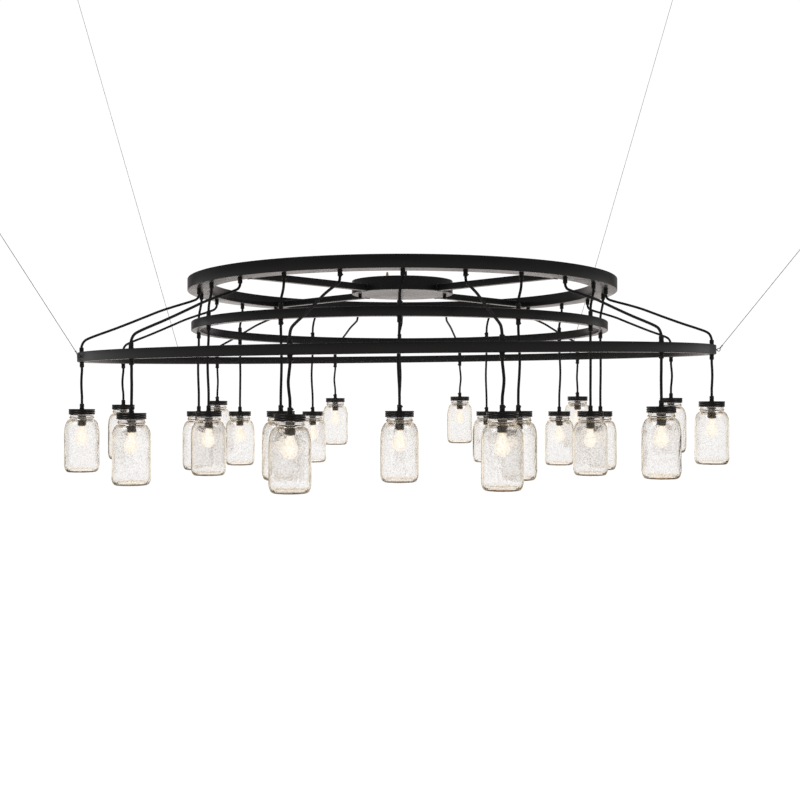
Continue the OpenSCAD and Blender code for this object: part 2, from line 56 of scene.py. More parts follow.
# Sizes shared with the part's source, in metres and degrees
CANOPY_D, CANOPY_H, SHEET = 0.300, 0.040, 0.0016
STUD_X = 0.1255
NUT_D, NUT_H = 0.012, 0.013
ARM_SIDE, ARM_FIT = 0.019, 0.0001
TOP_D, TOP_W, TOP_H = 1.256, 0.062, 0.034
MIDDLE_D, MIDDLE_GAP, MIDDLE_SHIFT = 1.219, 0.090, -0.008
OUTER_D, OUTER_GAP, OUTER_SHIFT = 1.829, 0.052, -0.016
OUTER_TIP, OUTER_LEAN = 1.9, 0.7
TUBE = 0.025
GRIP_D, GRIP_H, FLANGE_D, FLANGE_H, SHANK_D = 0.012, 0.015, 0.0135, 0.0015, 0.010
NOSE_H, SCREW_D, SCREW_OUT = 0.0015, 0.004, 0.002
CORD_D, CORD_FIT = 0.007, 0.0003
INNER_DROP, OUTER_DROP = 0.231, 0.130
JAR_D, JAR_H, NECK_D = 0.095, 0.173, 0.063
GLASS_T, BASE_T, HEEL_W, HEEL_H = 0.003, 0.006, 0.0115, 0.024
SHOULDER_DEPTH, SHOULDER_H = 0.068, 0.041
THREAD_OUT, COLLAR_OUT = 0.0017, 0.0025
LID_H, LID_T, LID_WALL = 0.015, 0.001, 0.0018
SOCKET_D, SOCKET_L, SOCKET_TOP = 0.0235, 0.044, 0.003
BASE_D, BULB_D, BULB_L = 0.017, 0.036, 0.052
CABLE_D, EYE_D, EYE_WIRE, EYE_COLLAR = 0.0018, 0.010, 0.002, 0.0015
LOOP_D, LOOP_WIRE = 0.016, 0.003
FERRULE_L, FERRULE_D, GAP = 0.012, 0.004, 0.0003
STRAP_W, STRAP_H, BAR_W, BAR_T = 0.012, 0.031, 0.024, 0.003

PENDANTS = 12
STEP = 360.0 / PENDANTS
INNER_ANGLES = np.arange(PENDANTS) * STEP
OUTER_ANGLES = INNER_ANGLES + STEP / 2
ALL_ANGLES = np.concatenate([INNER_ANGLES, OUTER_ANGLES])

TOP_CORD_R = (TOP_D - TOP_W) / 2
MIDDLE_CORD_R = (MIDDLE_D - TUBE) / 2
OUTER_CORD_R = (OUTER_D - TUBE) / 2
MIDDLE_Z = -CANOPY_H - MIDDLE_GAP - TUBE / 2
OUTER_Z = MIDDLE_Z - TUBE - OUTER_GAP
GRIP_REACH = TUBE / 2 + GRIP_H
BORE_R = CORD_D / 2 + CORD_FIT
LID_INNER_R = NECK_D / 2 + THREAD_OUT + 0.0005
LID_R = LID_INNER_R + LID_WALL
CORD_HEAD, CORD_TAIL = 0.008, LID_T + 0.001

# Routes of the cords, as in the part's source, in millimetres
OUTER_ROUTE = [
    (597, -55, 0), (598, -60.5, 0), (600.5, -65.2, 0.01), (604.3, -68.9, 0.02), (609.2, -71.4, 0.03),
    (616, -73.7, 0.06), (630, -78, 0.1), (660, -86.5, 0.2), (700, -99, 0.33), (740, -114.5, 0.46),
    (780, -130, 0.6), (820, -145, 0.73), (856, -157.5, 0.85), (874, -164, 0.91), (885, -168.5, 0.95),
    (892, -172.5, 0.97), (897, -178, 0.99), (900, -184, 1), (902, -192, 1)]
INNER_ROUTE = [(0, 0, 0), (0.15, 0, 0.03), (0.4, 1.5, 0.35), (0.7, 1, 0.8), (0.88, 0, 0.98), (1, 0, 1)]
DROP_ROUTE = [
    (0, 0, 0), (0.1, 0.5, 0), (0.25, 2, 1), (0.45, 3.5, 1.5), (0.62, 2.5, 1), (0.8, 0.5, 0),
    (0.93, 0, 0), (1, 0, 0)]
# Suspension cables: name, angle, rise outwards for each unit of height, length from ring to end loop
CABLES = [("back_left", -126, 0.41, 1.510), ("back_right", 138, 0.51, 1.700),
          ("front_left", -65, 0.635, 0.440), ("front_right", 76, 0.79, 0.440)]
MM = 0.001
ROOT = "fixture"


# Settings

class RingSettings(bpy.types.PropertyGroup):
    corner: FloatProperty(name="Corner radius", description="Rounding of the tubes' edges",
                          default=0.0020, min=0.0002, max=0.004, unit="LENGTH")
    weld: FloatProperty(name="Weld bead", description="Radius of the weld beads at the arms' ends",
                        default=0.0014, min=0.0005, max=0.003, unit="LENGTH")
    sections: IntProperty(name="Sections", description="Sections round each ring",
                          default=288, min=48, max=720)


class JarSettings(bpy.types.PropertyGroup):
    panel: FloatProperty(name="Panel depth", description="Depth of the flat panels in the jar's sides",
                         default=0.0018, min=0.0, max=0.003, unit="LENGTH")
    ripple: FloatProperty(name="Ripple", description="Height of the waves in the pressed glass",
                          default=0.00008, min=0.0, max=0.001, unit="LENGTH")
    turns: FloatProperty(name="Thread turns", description="Turns of the neck's thread",
                         default=1.7, min=1.0, max=2.0)
    columns: IntProperty(name="Columns", description="Columns round a jar", default=80, min=32, max=160)


class FinishSettings(bpy.types.PropertyGroup):
    paint: FloatVectorProperty(name="Paint", description="Powder coat of the rings, arms and canopy",
                               subtype="COLOR", size=4, default=(0.009, 0.0085, 0.009, 1), min=0, max=1)
    fitting: FloatVectorProperty(name="Fittings", description="Finish of the cord grips and dome nuts",
                                 subtype="COLOR", size=4, default=(0.007, 0.007, 0.007, 1), min=0, max=1)
    lid: FloatVectorProperty(name="Lids", description="Enamel of the jar lids",
                             subtype="COLOR", size=4, default=(0.009, 0.009, 0.0095, 1), min=0, max=1)
    cord: FloatVectorProperty(name="Cords", description="Cloth cover of the pendant cords",
                              subtype="COLOR", size=4, default=(0.006, 0.006, 0.006, 1), min=0, max=1)
    glass: FloatVectorProperty(name="Glass", description="Tint of the jars' glass",
                               subtype="COLOR", size=4, default=(0.995, 0.995, 1.0, 1), min=0, max=1)
    light: FloatVectorProperty(name="Light", description="Colour of the bulbs' light",
                               subtype="COLOR", size=4, default=(1.0, 0.90, 0.74, 1), min=0, max=1)
    strength: FloatProperty(name="Light strength", description="Strength of the bulbs' light",
                            default=1.1, min=0.0, max=60.0)


class StageSettings(bpy.types.PropertyGroup):
    floor: FloatProperty(name="Floor", description="Height of the floor", default=-1.70, unit="LENGTH")
    back: FloatProperty(name="Back wall", description="Distance of the wall behind",
                        default=4.2, unit="LENGTH")
    glow: FloatProperty(name="Surroundings", description="Brightness of the pale surroundings",
                        default=0.12, min=0.0, max=3.0)


SETTINGS = {"chandelier_rings": RingSettings, "chandelier_jars": JarSettings,
            "chandelier_finishes": FinishSettings, "chandelier_stage": StageSettings}


def settings(name):
    """One group of the scene's settings."""
    return getattr(bpy.context.scene, "chandelier_" + name)


# Shapes: points, four-cornered faces by point number, and one UV pair for each corner of each face

Shape = namedtuple("Shape", "points faces uv")


def grid(points, around=True, along=False):
    """Faces between the rows and columns of points[row, column]; around joins the last column to the first,
    along the last row to the first. U counts columns from 0 to 1, V is the distance along the rows."""
    points = np.asarray(points, float)
    rows, columns = points.shape[:2]
    r = np.arange(rows if along else rows - 1)[:, None]
    c = np.arange(columns if around else columns - 1)[None, :]
    r2, c2 = (r + 1) % rows, (c + 1) % columns
    here, above = r * columns, r2 * columns
    faces = np.stack(np.broadcast_arrays(here + c, here + c2, above + c2, above + c), -1)
    steps = np.linalg.norm(np.diff(points[:, 0], axis=0), axis=1)
    back = np.linalg.norm(points[-1, 0] - points[0, 0])
    run = np.concatenate([[0], np.cumsum(steps), [steps.sum() + back]])
    u1, u2 = c / columns, (c + 1) / columns
    v1, v2 = run[r], run[r + 1]
    pairs = [np.stack(np.broadcast_arrays(u, v), -1) for u, v in ((u1, v1), (u2, v1), (u2, v2), (u1, v2))]
    uv = np.stack(pairs, 2)
    return Shape(points.reshape(-1, 3), faces.reshape(-1, 4), uv.reshape(-1, 4, 2))


def join(*shapes):
    """Several shapes as one."""
    starts = np.cumsum([0] + [len(s.points) for s in shapes])
    return Shape(np.concatenate([s.points for s in shapes]),
                 np.concatenate([s.faces + n for s, n in zip(shapes, starts)]),
                 np.concatenate([s.uv for s in shapes]))


def placed(shape, turns, spots):
    """Copies of a shape: each point p becomes turn p + spot, for each turn (a 3 by 3 matrix) and spot."""
    turns, spots = np.broadcast_to(turns, (len(spots), 3, 3)), np.asarray(spots, float)
    points = np.einsum("mij,nj->mni", turns, shape.points) + spots[:, None, :]
    faces = shape.faces[None] + len(shape.points) * np.arange(len(spots))[:, None, None]
    return Shape(points.reshape(-1, 3), faces.reshape(-1, 4), np.tile(shape.uv, (len(spots), 1, 1)))


def rounded(corners, size, steps=3, closed=False):
    """A profile whose corners are rounded: each corner P becomes the curve (1-s)^2 A + 2s(1-s) P + s^2 B,
    with A and B at most size from P on its two sides."""
    p = np.asarray(corners, float)
    before, after = np.roll(p, 1, 0) - p, np.roll(p, -1, 0) - p
    lengths = [np.maximum(np.linalg.norm(d, axis=1, keepdims=True), 1e-9) for d in (before, after)]
    reach = [np.minimum(np.broadcast_to(size, len(p))[:, None], 0.45 * n) for n in lengths]
    a = p + before / lengths[0] * reach[0]
    b = p + after / lengths[1] * reach[1]
    s = np.linspace(0, 1, steps + 1)[None, :, None]
    curve = (1 - s) ** 2 * a[:, None] + 2 * s * (1 - s) * p[:, None] + s ** 2 * b[:, None]
    if closed:
        return curve.reshape(-1, 2)
    return np.concatenate([p[:1], curve[1:-1].reshape(-1, 2), p[-1:]])


def lathe(profile, sides=48, along=False):
    """A profile of (radius, height) turned round Z: (r cos t, r sin t, z)."""
    t = np.arange(sides) * 2 * math.pi / sides
    r, z = np.asarray(profile, float).T
    r, z = r[:, None], z[:, None]
    return grid(np.stack([r * np.cos(t), r * np.sin(t), z + 0 * t], -1), True, along)


def arc(centre, radius, start, end, steps):
    """Points (x + r cos t, y + r sin t) with t from start to end in degrees."""
    t = np.radians(np.linspace(start, end, steps))
    return np.stack([centre[0] + radius * np.cos(t), centre[1] + radius * np.sin(t)], 1)


def smooth_path(route, steps=8):
    """A centripetal Catmull-Rom curve through the route: blends of blends of the lines between four
    neighbours, with knots spaced by the square root of the distances."""
    p = np.asarray(route, float)
    q = np.concatenate([[2 * p[0] - p[1]], p, [2 * p[-1] - p[-2]]])
    p0, p1, p2, p3 = (q[k:len(q) - 3 + k, None, :] for k in range(4))
    gap = [np.sqrt(np.linalg.norm(b - a, axis=2, keepdims=True)) for a, b in ((p0, p1), (p1, p2), (p2, p3))]
    t1 = gap[0]
    t2 = t1 + gap[1]
    t3 = t2 + gap[2]
    t = t1 + (t2 - t1) * (np.arange(steps) / steps)[None, :, None]
    a1 = (t1 - t) / t1 * p0 + t / t1 * p1
    a2 = (t2 - t) / (t2 - t1) * p1 + (t - t1) / (t2 - t1) * p2
    a3 = (t3 - t) / (t3 - t2) * p2 + (t - t2) / (t3 - t2) * p3
    b1 = (t2 - t) / t2 * a1 + t / t2 * a2
    b2 = (t3 - t) / (t3 - t1) * a2 + (t - t1) / (t3 - t1) * a3
    curve = (t2 - t) / (t2 - t1) * b1 + (t - t1) / (t2 - t1) * b2
    return np.concatenate([curve.reshape(-1, 3), p[-1:]])


def unit(vectors):
    """Each row made one long."""
    return vectors / np.linalg.norm(vectors, axis=1, keepdims=True)


def circles(path, u, w, radius, sides):
    """A circle round each point of a path: p + r (u cos t + w sin t)."""
    t = np.arange(sides) * 2 * math.pi / sides
    size = np.broadcast_to(radius, len(path))[:, None, None]
    return path[:, None] + size * (u[:, None] * np.cos(t)[:, None] + w[:, None] * np.sin(t)[:, None])


def sweep(path, radius, sides, across):
    """A round tube along a path: a circle at each point, with u the direction across made square to the path
    and w their cross product. The ends close in a point. V counts turns of the tube's own girth."""
    path = np.asarray(path, float)
    tangent = unit(np.gradient(path, axis=0))
    u = unit(across - (tangent @ across)[:, None] * tangent)
    ring = circles(path, u, np.cross(tangent, u), radius, sides)
    ends = np.repeat(path[[0, -1], None], sides, 1)
    tube = grid(np.concatenate([ends[:1], ring, ends[1:]]))
    return tube._replace(uv=tube.uv / [1, 2 * math.pi * radius])


def torus(big, small, sides=32, round_sides=12):
    """A ring of round wire about Z."""
    return lathe(arc((big, 0), small, 0, 360 - 360 / round_sides, round_sides), sides, True)


# Places

def around(radius, angle, z=0.0):
    """Points at an angle round the axis, counted from the front towards +X."""
    t = np.radians(angle)
    return np.stack(np.broadcast_arrays(radius * np.sin(t), -radius * np.cos(t), z), -1)


def sideways(angle):
    """The direction along a ring at an angle, square to its radius."""
    t = math.radians(angle)
    return np.array([math.cos(t), math.sin(t), 0])


def turn(angles, upside_down=False):
    """Turns about Z by each angle; upside down, Y and Z are reversed first."""
    t = np.radians(np.atleast_1d(angles))
    zero, one, flip = 0 * t, 1 + 0 * t, -1.0 if upside_down else 1.0
    return np.stack([np.stack([np.cos(t), -flip * np.sin(t), zero], -1),
                     np.stack([np.sin(t), flip * np.cos(t), zero], -1),
                     np.stack([zero, zero, flip * one], -1)], -2)


def lean_of(tip, lean):
    """A turn about X by tip, then about Y by lean, in degrees."""
    a, b = math.radians(tip), math.radians(lean)
    about_x = np.array([[1, 0, 0], [0, math.cos(a), -math.sin(a)], [0, math.sin(a), math.cos(a)]])
    about_y = np.array([[math.cos(b), 0, -math.sin(b)], [0, 1, 0], [math.sin(b), 0, math.cos(b)]])
    return about_y @ about_x


OUTER_FRAME = lean_of(OUTER_TIP, OUTER_LEAN)
LEVEL = np.eye(3)[None]


def on_outer(points):
    """The outer ring's own frame: tipped forwards, leaned to the left, then moved to its place."""
    return np.asarray(points) @ OUTER_FRAME.T + [OUTER_SHIFT, 0, OUTER_Z]


def middle_point(angle, height):
    """A cord's place in the middle ring, at a height over the ring's middle."""
    return around(MIDDLE_CORD_R, angle, MIDDLE_Z + height) + [MIDDLE_SHIFT, 0, 0]


def outer_point(angle, height):
    """A cord's place in the outer ring, at a height over the ring's middle."""
    return on_outer(around(OUTER_CORD_R, angle, height))


def inner_lid(angle):
    """The top of a lid under the middle ring."""
    return middle_point(angle, -TUBE / 2 - INNER_DROP)


def outer_lid(angle):
    """The top of a lid under the outer ring."""
    return outer_point(angle, -GRIP_REACH) + [0, 0, GRIP_H - OUTER_DROP]


LIDS = np.concatenate([inner_lid(INNER_ANGLES), outer_lid(OUTER_ANGLES)])


# Cord routes

def drop_points(start, end, angle, side):
    """From a ring to a lid: a straight line, plus each row's way sideways and outwards."""
    rows = np.array(DROP_ROUTE) * [1, MM, MM]
    bend = side * rows[:, 1:2] * sideways(angle) + rows[:, 2:] * around(1, angle)
    return start + rows[:, :1] * (end - start) + bend


def inner_path(angle, side):
    """An inner cord: from the top ring through the middle ring to its lid."""
    start, end = around(TOP_CORD_R, angle, -CANOPY_H - GRIP_H), middle_point(angle, GRIP_REACH)
    rows = np.array(INNER_ROUTE)
    run = start + rows[:, [2, 2, 0]] * (end - start) + side * MM * rows[:, 1:2] * sideways(angle)
    lid = inner_lid(angle)
    drop = drop_points(middle_point(angle, -GRIP_REACH), lid + [0, 0, GRIP_H], angle, side)
    return np.concatenate([[start + [0, 0, GRIP_H + CORD_HEAD]], run, drop, [lid - [0, 0, CORD_TAIL]]])


def outer_path(angle, side):
    """An outer cord: from the top ring out and down through the outer ring to its lid."""
    start, entry = around(TOP_CORD_R, angle, -CANOPY_H - GRIP_H), outer_point(angle, GRIP_REACH)
    level = around(OUTER_CORD_R, angle, OUTER_Z + GRIP_REACH)
    rows = np.array(OUTER_ROUTE) * [MM, MM, 1]
    run = around(rows[:, 0], angle, rows[:, 1]) + rows[:, 2:] * (entry - level)
    lid = outer_lid(angle)
    drop = drop_points(outer_point(angle, -GRIP_REACH), lid + [0, 0, GRIP_H], angle, side)
    return np.concatenate([[start + [0, 0, GRIP_H + CORD_HEAD]], run, drop, [lid - [0, 0, CORD_TAIL]]])


def cable_line(angle, rise):
    """Middle of a cable's eye beside the ring, and the cable's direction."""
    eye = on_outer(around(OUTER_D / 2 + EYE_COLLAR + EYE_D / 2, angle))
    slope = around(rise, angle, 1.0)
    return eye, slope / np.linalg.norm(slope)


def along(direction):
    """A turn that takes Z to a direction."""
    z = np.asarray(direction)
    x = np.cross([0, 1, 0], z)
    x /= np.linalg.norm(x)
    return np.stack([x, np.cross(z, x), z], 1)[None]


# Materials

DUST = (0.16, 0.15, 0.14, 1)
# Painted light: the warm edge colour and the edge glow below are painted on the jars' glass where it turns
# from the eye, standing in for bulb light in thick glass
FLECK, PAINTED_WARM_EDGE_LIGHT = (0.80, 0.78, 0.76, 1), (1.0, 0.84, 0.56, 1)
EDGE_GLOW, DEEP_TINT = (1.0, 0.72, 0.38, 1), (1.0, 0.86, 0.66, 1)
WHITE, ROSY, TAN_SKY, TAN_FLOOR = (1, 1, 1, 1), (1, 0.93, 0.90, 1), (1, 0.78, 0.56, 1), (1, 0.80, 0.56, 1)


def add(tree, kind, inputs=(), **values):
    """A node with its inputs set or linked."""
    item = tree.nodes.new(kind)
    for key, value in values.items():
        setattr(item, key, value)
    for key, value in dict(inputs).items():
        if isinstance(value, bpy.types.NodeSocket):
            tree.links.new(value, item.inputs[key])
        else:
            item.inputs[key].default_value = value
    return item


def maths(tree, operation, *inputs):
    """A sum on numbers or sockets."""
    return add(tree, "ShaderNodeMath", enumerate(inputs), operation=operation).outputs[0]


def spread(tree, value, low, high, new_low=0.0, new_high=1.0):
    """A value between low and high, carried over to between new_low and new_high."""
    item = add(tree, "ShaderNodeMapRange", {0: value, 1: low, 2: high, 3: new_low, 4: new_high})
    return item.outputs[0]


def blend_colour(tree, share, first, second):
    """From the first colour at share 0 to the second at 1."""
    item = add(tree, "ShaderNodeMix", data_type="RGBA")
    for key, value in ((0, share), (6, first), (7, second)):
        if isinstance(value, bpy.types.NodeSocket):
            tree.links.new(value, item.inputs[key])
        else:
            item.inputs[key].default_value = value
    return item.outputs[2]


def new_group(name, inputs, outputs):
    """An empty node group; returns its tree, the inputs' sockets by name and the output node."""
    tree = bpy.data.node_groups.new(name, "ShaderNodeTree")
    for label, value in inputs:
        tree.interface.new_socket(label, in_out="INPUT", socket_type="NodeSocketFloat").default_value = value
    for label in outputs:
        tree.interface.new_socket(label, in_out="OUTPUT", socket_type="NodeSocketFloat")
    return tree, tree.nodes.new("NodeGroupInput").outputs, tree.nodes.new("NodeGroupOutput")


def finish_group(tree, output, **sockets):
    """Links the named sockets to a group's outputs."""
    for label, socket in sockets.items():
        tree.links.new(socket, output.inputs[label.replace("_", " ")])
    return tree


def coat_group():
    """Sprayed coat: fine orange peel over slow patches."""
    inputs, outputs = [("Scale", 500.0), ("Patches", 9.0)], ["Peel", "Patch", "Height"]
    tree, given, out = new_group("Sprayed coat", inputs, outputs)
    place = add(tree, "ShaderNodeTexCoord").outputs["Object"]
    peel = add(tree, "ShaderNodeTexNoise", {"Vector": place, "Scale": given["Scale"], "Detail": 2.0})
    patch = add(tree, "ShaderNodeTexNoise", {"Vector": place, "Scale": given["Patches"], "Detail": 5.0})
    fine, slow = peel.outputs["Fac"], patch.outputs["Fac"]
    height = maths(tree, "ADD", fine, maths(tree, "MULTIPLY", slow, 0.4))
    return finish_group(tree, out, Peel=fine, Patch=spread(tree, slow, 0.3, 0.7), Height=height)


def dust_group():
    """Dust settled on faces that look up, broken up by noise."""
    tree, given, out = new_group("Settled dust", [("Amount", 0.3), ("Scale", 60.0)], ["Mask"])
    normal = add(tree, "ShaderNodeNewGeometry").outputs["Normal"]
    up = add(tree, "ShaderNodeSeparateXYZ", {0: normal}).outputs["Z"]
    place = add(tree, "ShaderNodeTexCoord").outputs["Object"]
    cloud = add(tree, "ShaderNodeTexNoise", {"Vector": place, "Scale": given["Scale"], "Detail": 6.0})
    mask = maths(tree, "MULTIPLY", spread(tree, up, 0.55, 1.0), spread(tree, cloud.outputs["Fac"], 0.35, 0.7))
    return finish_group(tree, out, Mask=maths(tree, "MULTIPLY", mask, given["Amount"]))


def wear_group():
    """Rubbed edges: where the surface turns sharply outwards, broken up by noise."""
    tree, given, out = new_group("Rubbed edges", [("Amount", 0.5), ("Scale", 90.0)], ["Mask"])
    sharp = spread(tree, add(tree, "ShaderNodeNewGeometry").outputs["Pointiness"], 0.52, 0.60)
    place = add(tree, "ShaderNodeTexCoord").outputs["Object"]
    spots = add(tree, "ShaderNodeTexNoise", {"Vector": place, "Scale": given["Scale"], "Detail": 4.0})
    mask = maths(tree, "MULTIPLY", sharp, spread(tree, spots.outputs["Fac"], 0.45, 0.65))
    return finish_group(tree, out, Mask=maths(tree, "MULTIPLY", mask, given["Amount"]))


def strands_group():
    """Crossing or one-way strands on a tube, from its UV map: sin(2 pi (around u + along v)), times the
    same with minus where it crosses."""
    inputs = [("Around", 6.0), ("Along", 6.0), ("Cross", 1.0)]
    tree, given, out = new_group("Strands", inputs, ["Height", "Groove"])
    uv = add(tree, "ShaderNodeSeparateXYZ", {0: add(tree, "ShaderNodeTexCoord").outputs["UV"]}).outputs
    u = maths(tree, "MULTIPLY", uv["X"], given["Around"])
    v = maths(tree, "MULTIPLY", uv["Y"], given["Along"])
    full = 2 * math.pi
    one = maths(tree, "SINE", maths(tree, "MULTIPLY", maths(tree, "ADD", u, v), full))
    two = maths(tree, "SINE", maths(tree, "MULTIPLY", maths(tree, "SUBTRACT", u, v), full))
    both = maths(tree, "MULTIPLY", one, two)
    mixed = maths(tree, "ADD", maths(tree, "MULTIPLY", one, maths(tree, "SUBTRACT", 1.0, given["Cross"])),
                  maths(tree, "MULTIPLY", both, given["Cross"]))
    height = spread(tree, mixed, -1.0, 1.0)
    # Groove is the mask where the painted shade between strands goes
    return finish_group(tree, out, Height=height, Groove=spread(tree, height, 0.5, 0.1))


def turned_group():
    """Fine lines left by turning, from the V of the piece's UV map."""
    tree, given, out = new_group("Turned lines", [("Pitch", 2500.0)], ["Lines"])
    uv = add(tree, "ShaderNodeSeparateXYZ", {0: add(tree, "ShaderNodeTexCoord").outputs["UV"]}).outputs
    run = maths(tree, "MULTIPLY", uv["Y"], given["Pitch"])
    lines = add(tree, "ShaderNodeTexNoise", {"W": run, "Scale": 1.0, "Detail": 3.0}, noise_dimensions="1D")
    return finish_group(tree, out, Lines=lines.outputs["Fac"])


def glass_group():
    """Slow waves, a few seeds and a mask of fine flecks in pressed glass."""
    tree, given, out = new_group("Pressed glass", [("Waves", 140.0), ("Seeds", 240.0)], ["Height", "Flecks"])
    place = add(tree, "ShaderNodeTexCoord").outputs["Object"]
    waves = add(tree, "ShaderNodeTexNoise", {"Vector": place, "Scale": given["Waves"], "Detail": 3.0})
    cells = add(tree, "ShaderNodeTexVoronoi", {"Vector": place, "Scale": given["Seeds"]})
    seeds = maths(tree, "MULTIPLY", spread(tree, cells.outputs["Distance"], 0.16, 0.04), 0.25)
    flecks = add(tree, "ShaderNodeTexNoise", {"Vector": place, "Scale": given["Seeds"], "Detail": 1.0})
    return finish_group(tree, out, Height=maths(tree, "ADD", waves.outputs["Fac"], seeds),
                        Flecks=spread(tree, flecks.outputs["Fac"], 0.5, 0.68))


def group(tree, name, **inputs):
    """A shared effect placed in a material with its own values; returns its outputs."""
    item = add(tree, "ShaderNodeGroup", node_tree=bpy.data.node_groups[name])
    for label, value in inputs.items():
        item.inputs[label].default_value = value
    return item.outputs


def new_material(name, **inputs):
    """A material with one principled shader; returns the material, its tree and the shader."""
    material = bpy.data.materials.new(name)
    material.use_nodes = True
    tree = material.node_tree
    shader = tree.nodes["Principled BSDF"]
    for label, value in inputs.items():
        shader.inputs[label.replace("_", " ")].default_value = value
    return material, tree, shader


def bump(tree, shader, height, strength, distance):
    """Gives the surface a fine relief."""
    item = add(tree, "ShaderNodeBump", {"Height": height, "Strength": strength, "Distance": distance})
    tree.links.new(item.outputs[0], shader.inputs["Normal"])


def coated(name, colour, roughness, peel, dust=0.25, wear=0.5, worn=(0.07, 0.068, 0.065, 1), depth=0.00006):
    """Sprayed or enamelled metal: peel, patches, rubbed edges and dust."""
    _, tree, shader = new_material(name, Specular_IOR_Level=0.5, Specular_Tint=(1.0, 0.95, 0.92, 1))
    coat = group(tree, "Sprayed coat", Scale=peel, Patches=7.0)
    edges = group(tree, "Rubbed edges", Amount=wear, Scale=80.0)["Mask"]
    dusty = group(tree, "Settled dust", Amount=dust, Scale=45.0)["Mask"]
    lighter = tuple(1.35 * c for c in colour[:3]) + (1,)
    base = blend_colour(tree, coat["Patch"], tuple(colour), lighter)
    base = blend_colour(tree, edges, base, worn)
    base = blend_colour(tree, dusty, base, DUST)
    tree.links.new(base, shader.inputs["Base Color"])
    rough = spread(tree, coat["Patch"], 0.0, 1.0, roughness - 0.05, roughness + 0.05)
    rough = maths(tree, "ADD", rough, maths(tree, "MULTIPLY", dusty, 0.25))
    tree.links.new(rough, shader.inputs["Roughness"])
    bump(tree, shader, coat["Height"], 0.35, depth)


def metal(name, colour, roughness, scale=350.0, lines=0.0):
    """Bare or plated metal: patches of tarnish, fine grain, and turned lines where asked."""
    _, tree, shader = new_material(name, Metallic=1.0)
    coat = group(tree, "Sprayed coat", Scale=scale, Patches=40.0)
    darker = tuple(0.72 * c for c in colour[:3]) + (1,)
    tree.links.new(blend_colour(tree, coat["Patch"], tuple(colour), darker), shader.inputs["Base Color"])
    rough = spread(tree, coat["Patch"], 0.0, 1.0, roughness, roughness + 0.14)
    tree.links.new(rough, shader.inputs["Roughness"])
    height = coat["Height"]
    if lines:
        turned = group(tree, "Turned lines")["Lines"]
        height = maths(tree, "ADD", height, maths(tree, "MULTIPLY", turned, lines))
    bump(tree, shader, height, 0.3, 0.00004)


def moulded(name, colour, roughness, scale=700.0, dust=0.15):
    """Moulded plastic: faint grain and shade."""
    _, tree, shader = new_material(name)
    coat = group(tree, "Sprayed coat", Scale=scale, Patches=25.0)
    dusty = group(tree, "Settled dust", Amount=dust, Scale=90.0)["Mask"]
    lighter = tuple(min(1.0, 1.25 * c) for c in colour[:3]) + (1,)
    base = blend_colour(tree, coat["Patch"], tuple(colour), lighter)
    base = blend_colour(tree, dusty, base, (0.2, 0.19, 0.18, 1))
    tree.links.new(base, shader.inputs["Base Color"])
    tree.links.new(spread(tree, coat["Peel"], 0.3, 0.7, roughness - 0.06, roughness + 0.06),
                   shader.inputs["Roughness"])
    bump(tree, shader, coat["Height"], 0.3, 0.00005)


def stranded(name, colour, groove_painted_shade, roughness, metallic, around_count, along_count, cross, depth):
    """Braided cloth or twisted wire on a tube's UV map, with painted shade darkening the grooves between
    strands.
    """
    _, tree, shader = new_material(name, Metallic=metallic)
    strands = group(tree, "Strands", Around=around_count, Along=along_count, Cross=cross)
    coat = group(tree, "Sprayed coat", Scale=600.0, Patches=30.0)
    lighter = tuple(min(1.0, 1.4 * c) for c in colour[:3]) + (1,)
    base = blend_colour(tree, coat["Patch"], tuple(colour), lighter)
    # Painted shade: the colour turns dark in the grooves between strands
    base = blend_colour(tree, strands["Groove"], base, groove_painted_shade)
    tree.links.new(base, shader.inputs["Base Color"])
    tree.links.new(spread(tree, strands["Height"], 0.0, 1.0, roughness + 0.12, roughness),
                   shader.inputs["Roughness"])
    bump(tree, shader, strands["Height"], 0.6, depth)


def see_through(name, colour, density, glow):
    """Clear pressed glass: waves, seeds and flecks in its surface; where it turns from the eye, a painted
    warm glow and painted warm colour that stand in for bulb light in thick glass; tint in its depth, and
    light let through."""
    _, tree, shader = new_material(name, Base_Color=tuple(colour), IOR=1.5, Transmission_Weight=1.0,
                                   Metallic=0.0, Roughness=0.03, Emission_Color=EDGE_GLOW)
    pressed = group(tree, "Pressed glass")
    bump(tree, shader, pressed["Height"], 0.8, 0.0006)
    edge = add(tree, "ShaderNodeLayerWeight", {"Blend": 0.5}).outputs["Facing"]
    plain = blend_colour(tree, pressed["Flecks"], tuple(colour), FLECK)
    # Painted light: the base colour turns warm and the glass glows where it turns from the eye
    tree.links.new(blend_colour(tree, spread(tree, edge, 0.5, 0.95), plain, PAINTED_WARM_EDGE_LIGHT),
                   shader.inputs["Base Color"])
    tree.links.new(spread(tree, edge, 0.6, 1.0, 0.0, glow), shader.inputs["Emission Strength"])
    clear = add(tree, "ShaderNodeBsdfTransparent", {"Color": (0.94, 0.94, 0.93, 1)})
    ray = add(tree, "ShaderNodeLightPath").outputs
    passing = maths(tree, "MAXIMUM", ray["Is Shadow Ray"], ray["Is Diffuse Ray"])
    mix = add(tree, "ShaderNodeMixShader", {0: passing, 1: shader.outputs[0], 2: clear.outputs[0]})
    end = tree.nodes["Material Output"]
    tree.links.new(mix.outputs[0], end.inputs["Surface"])
    tint = add(tree, "ShaderNodeVolumeAbsorption", {"Color": DEEP_TINT, "Density": density})
    tree.links.new(tint.outputs[0], end.inputs["Volume"])


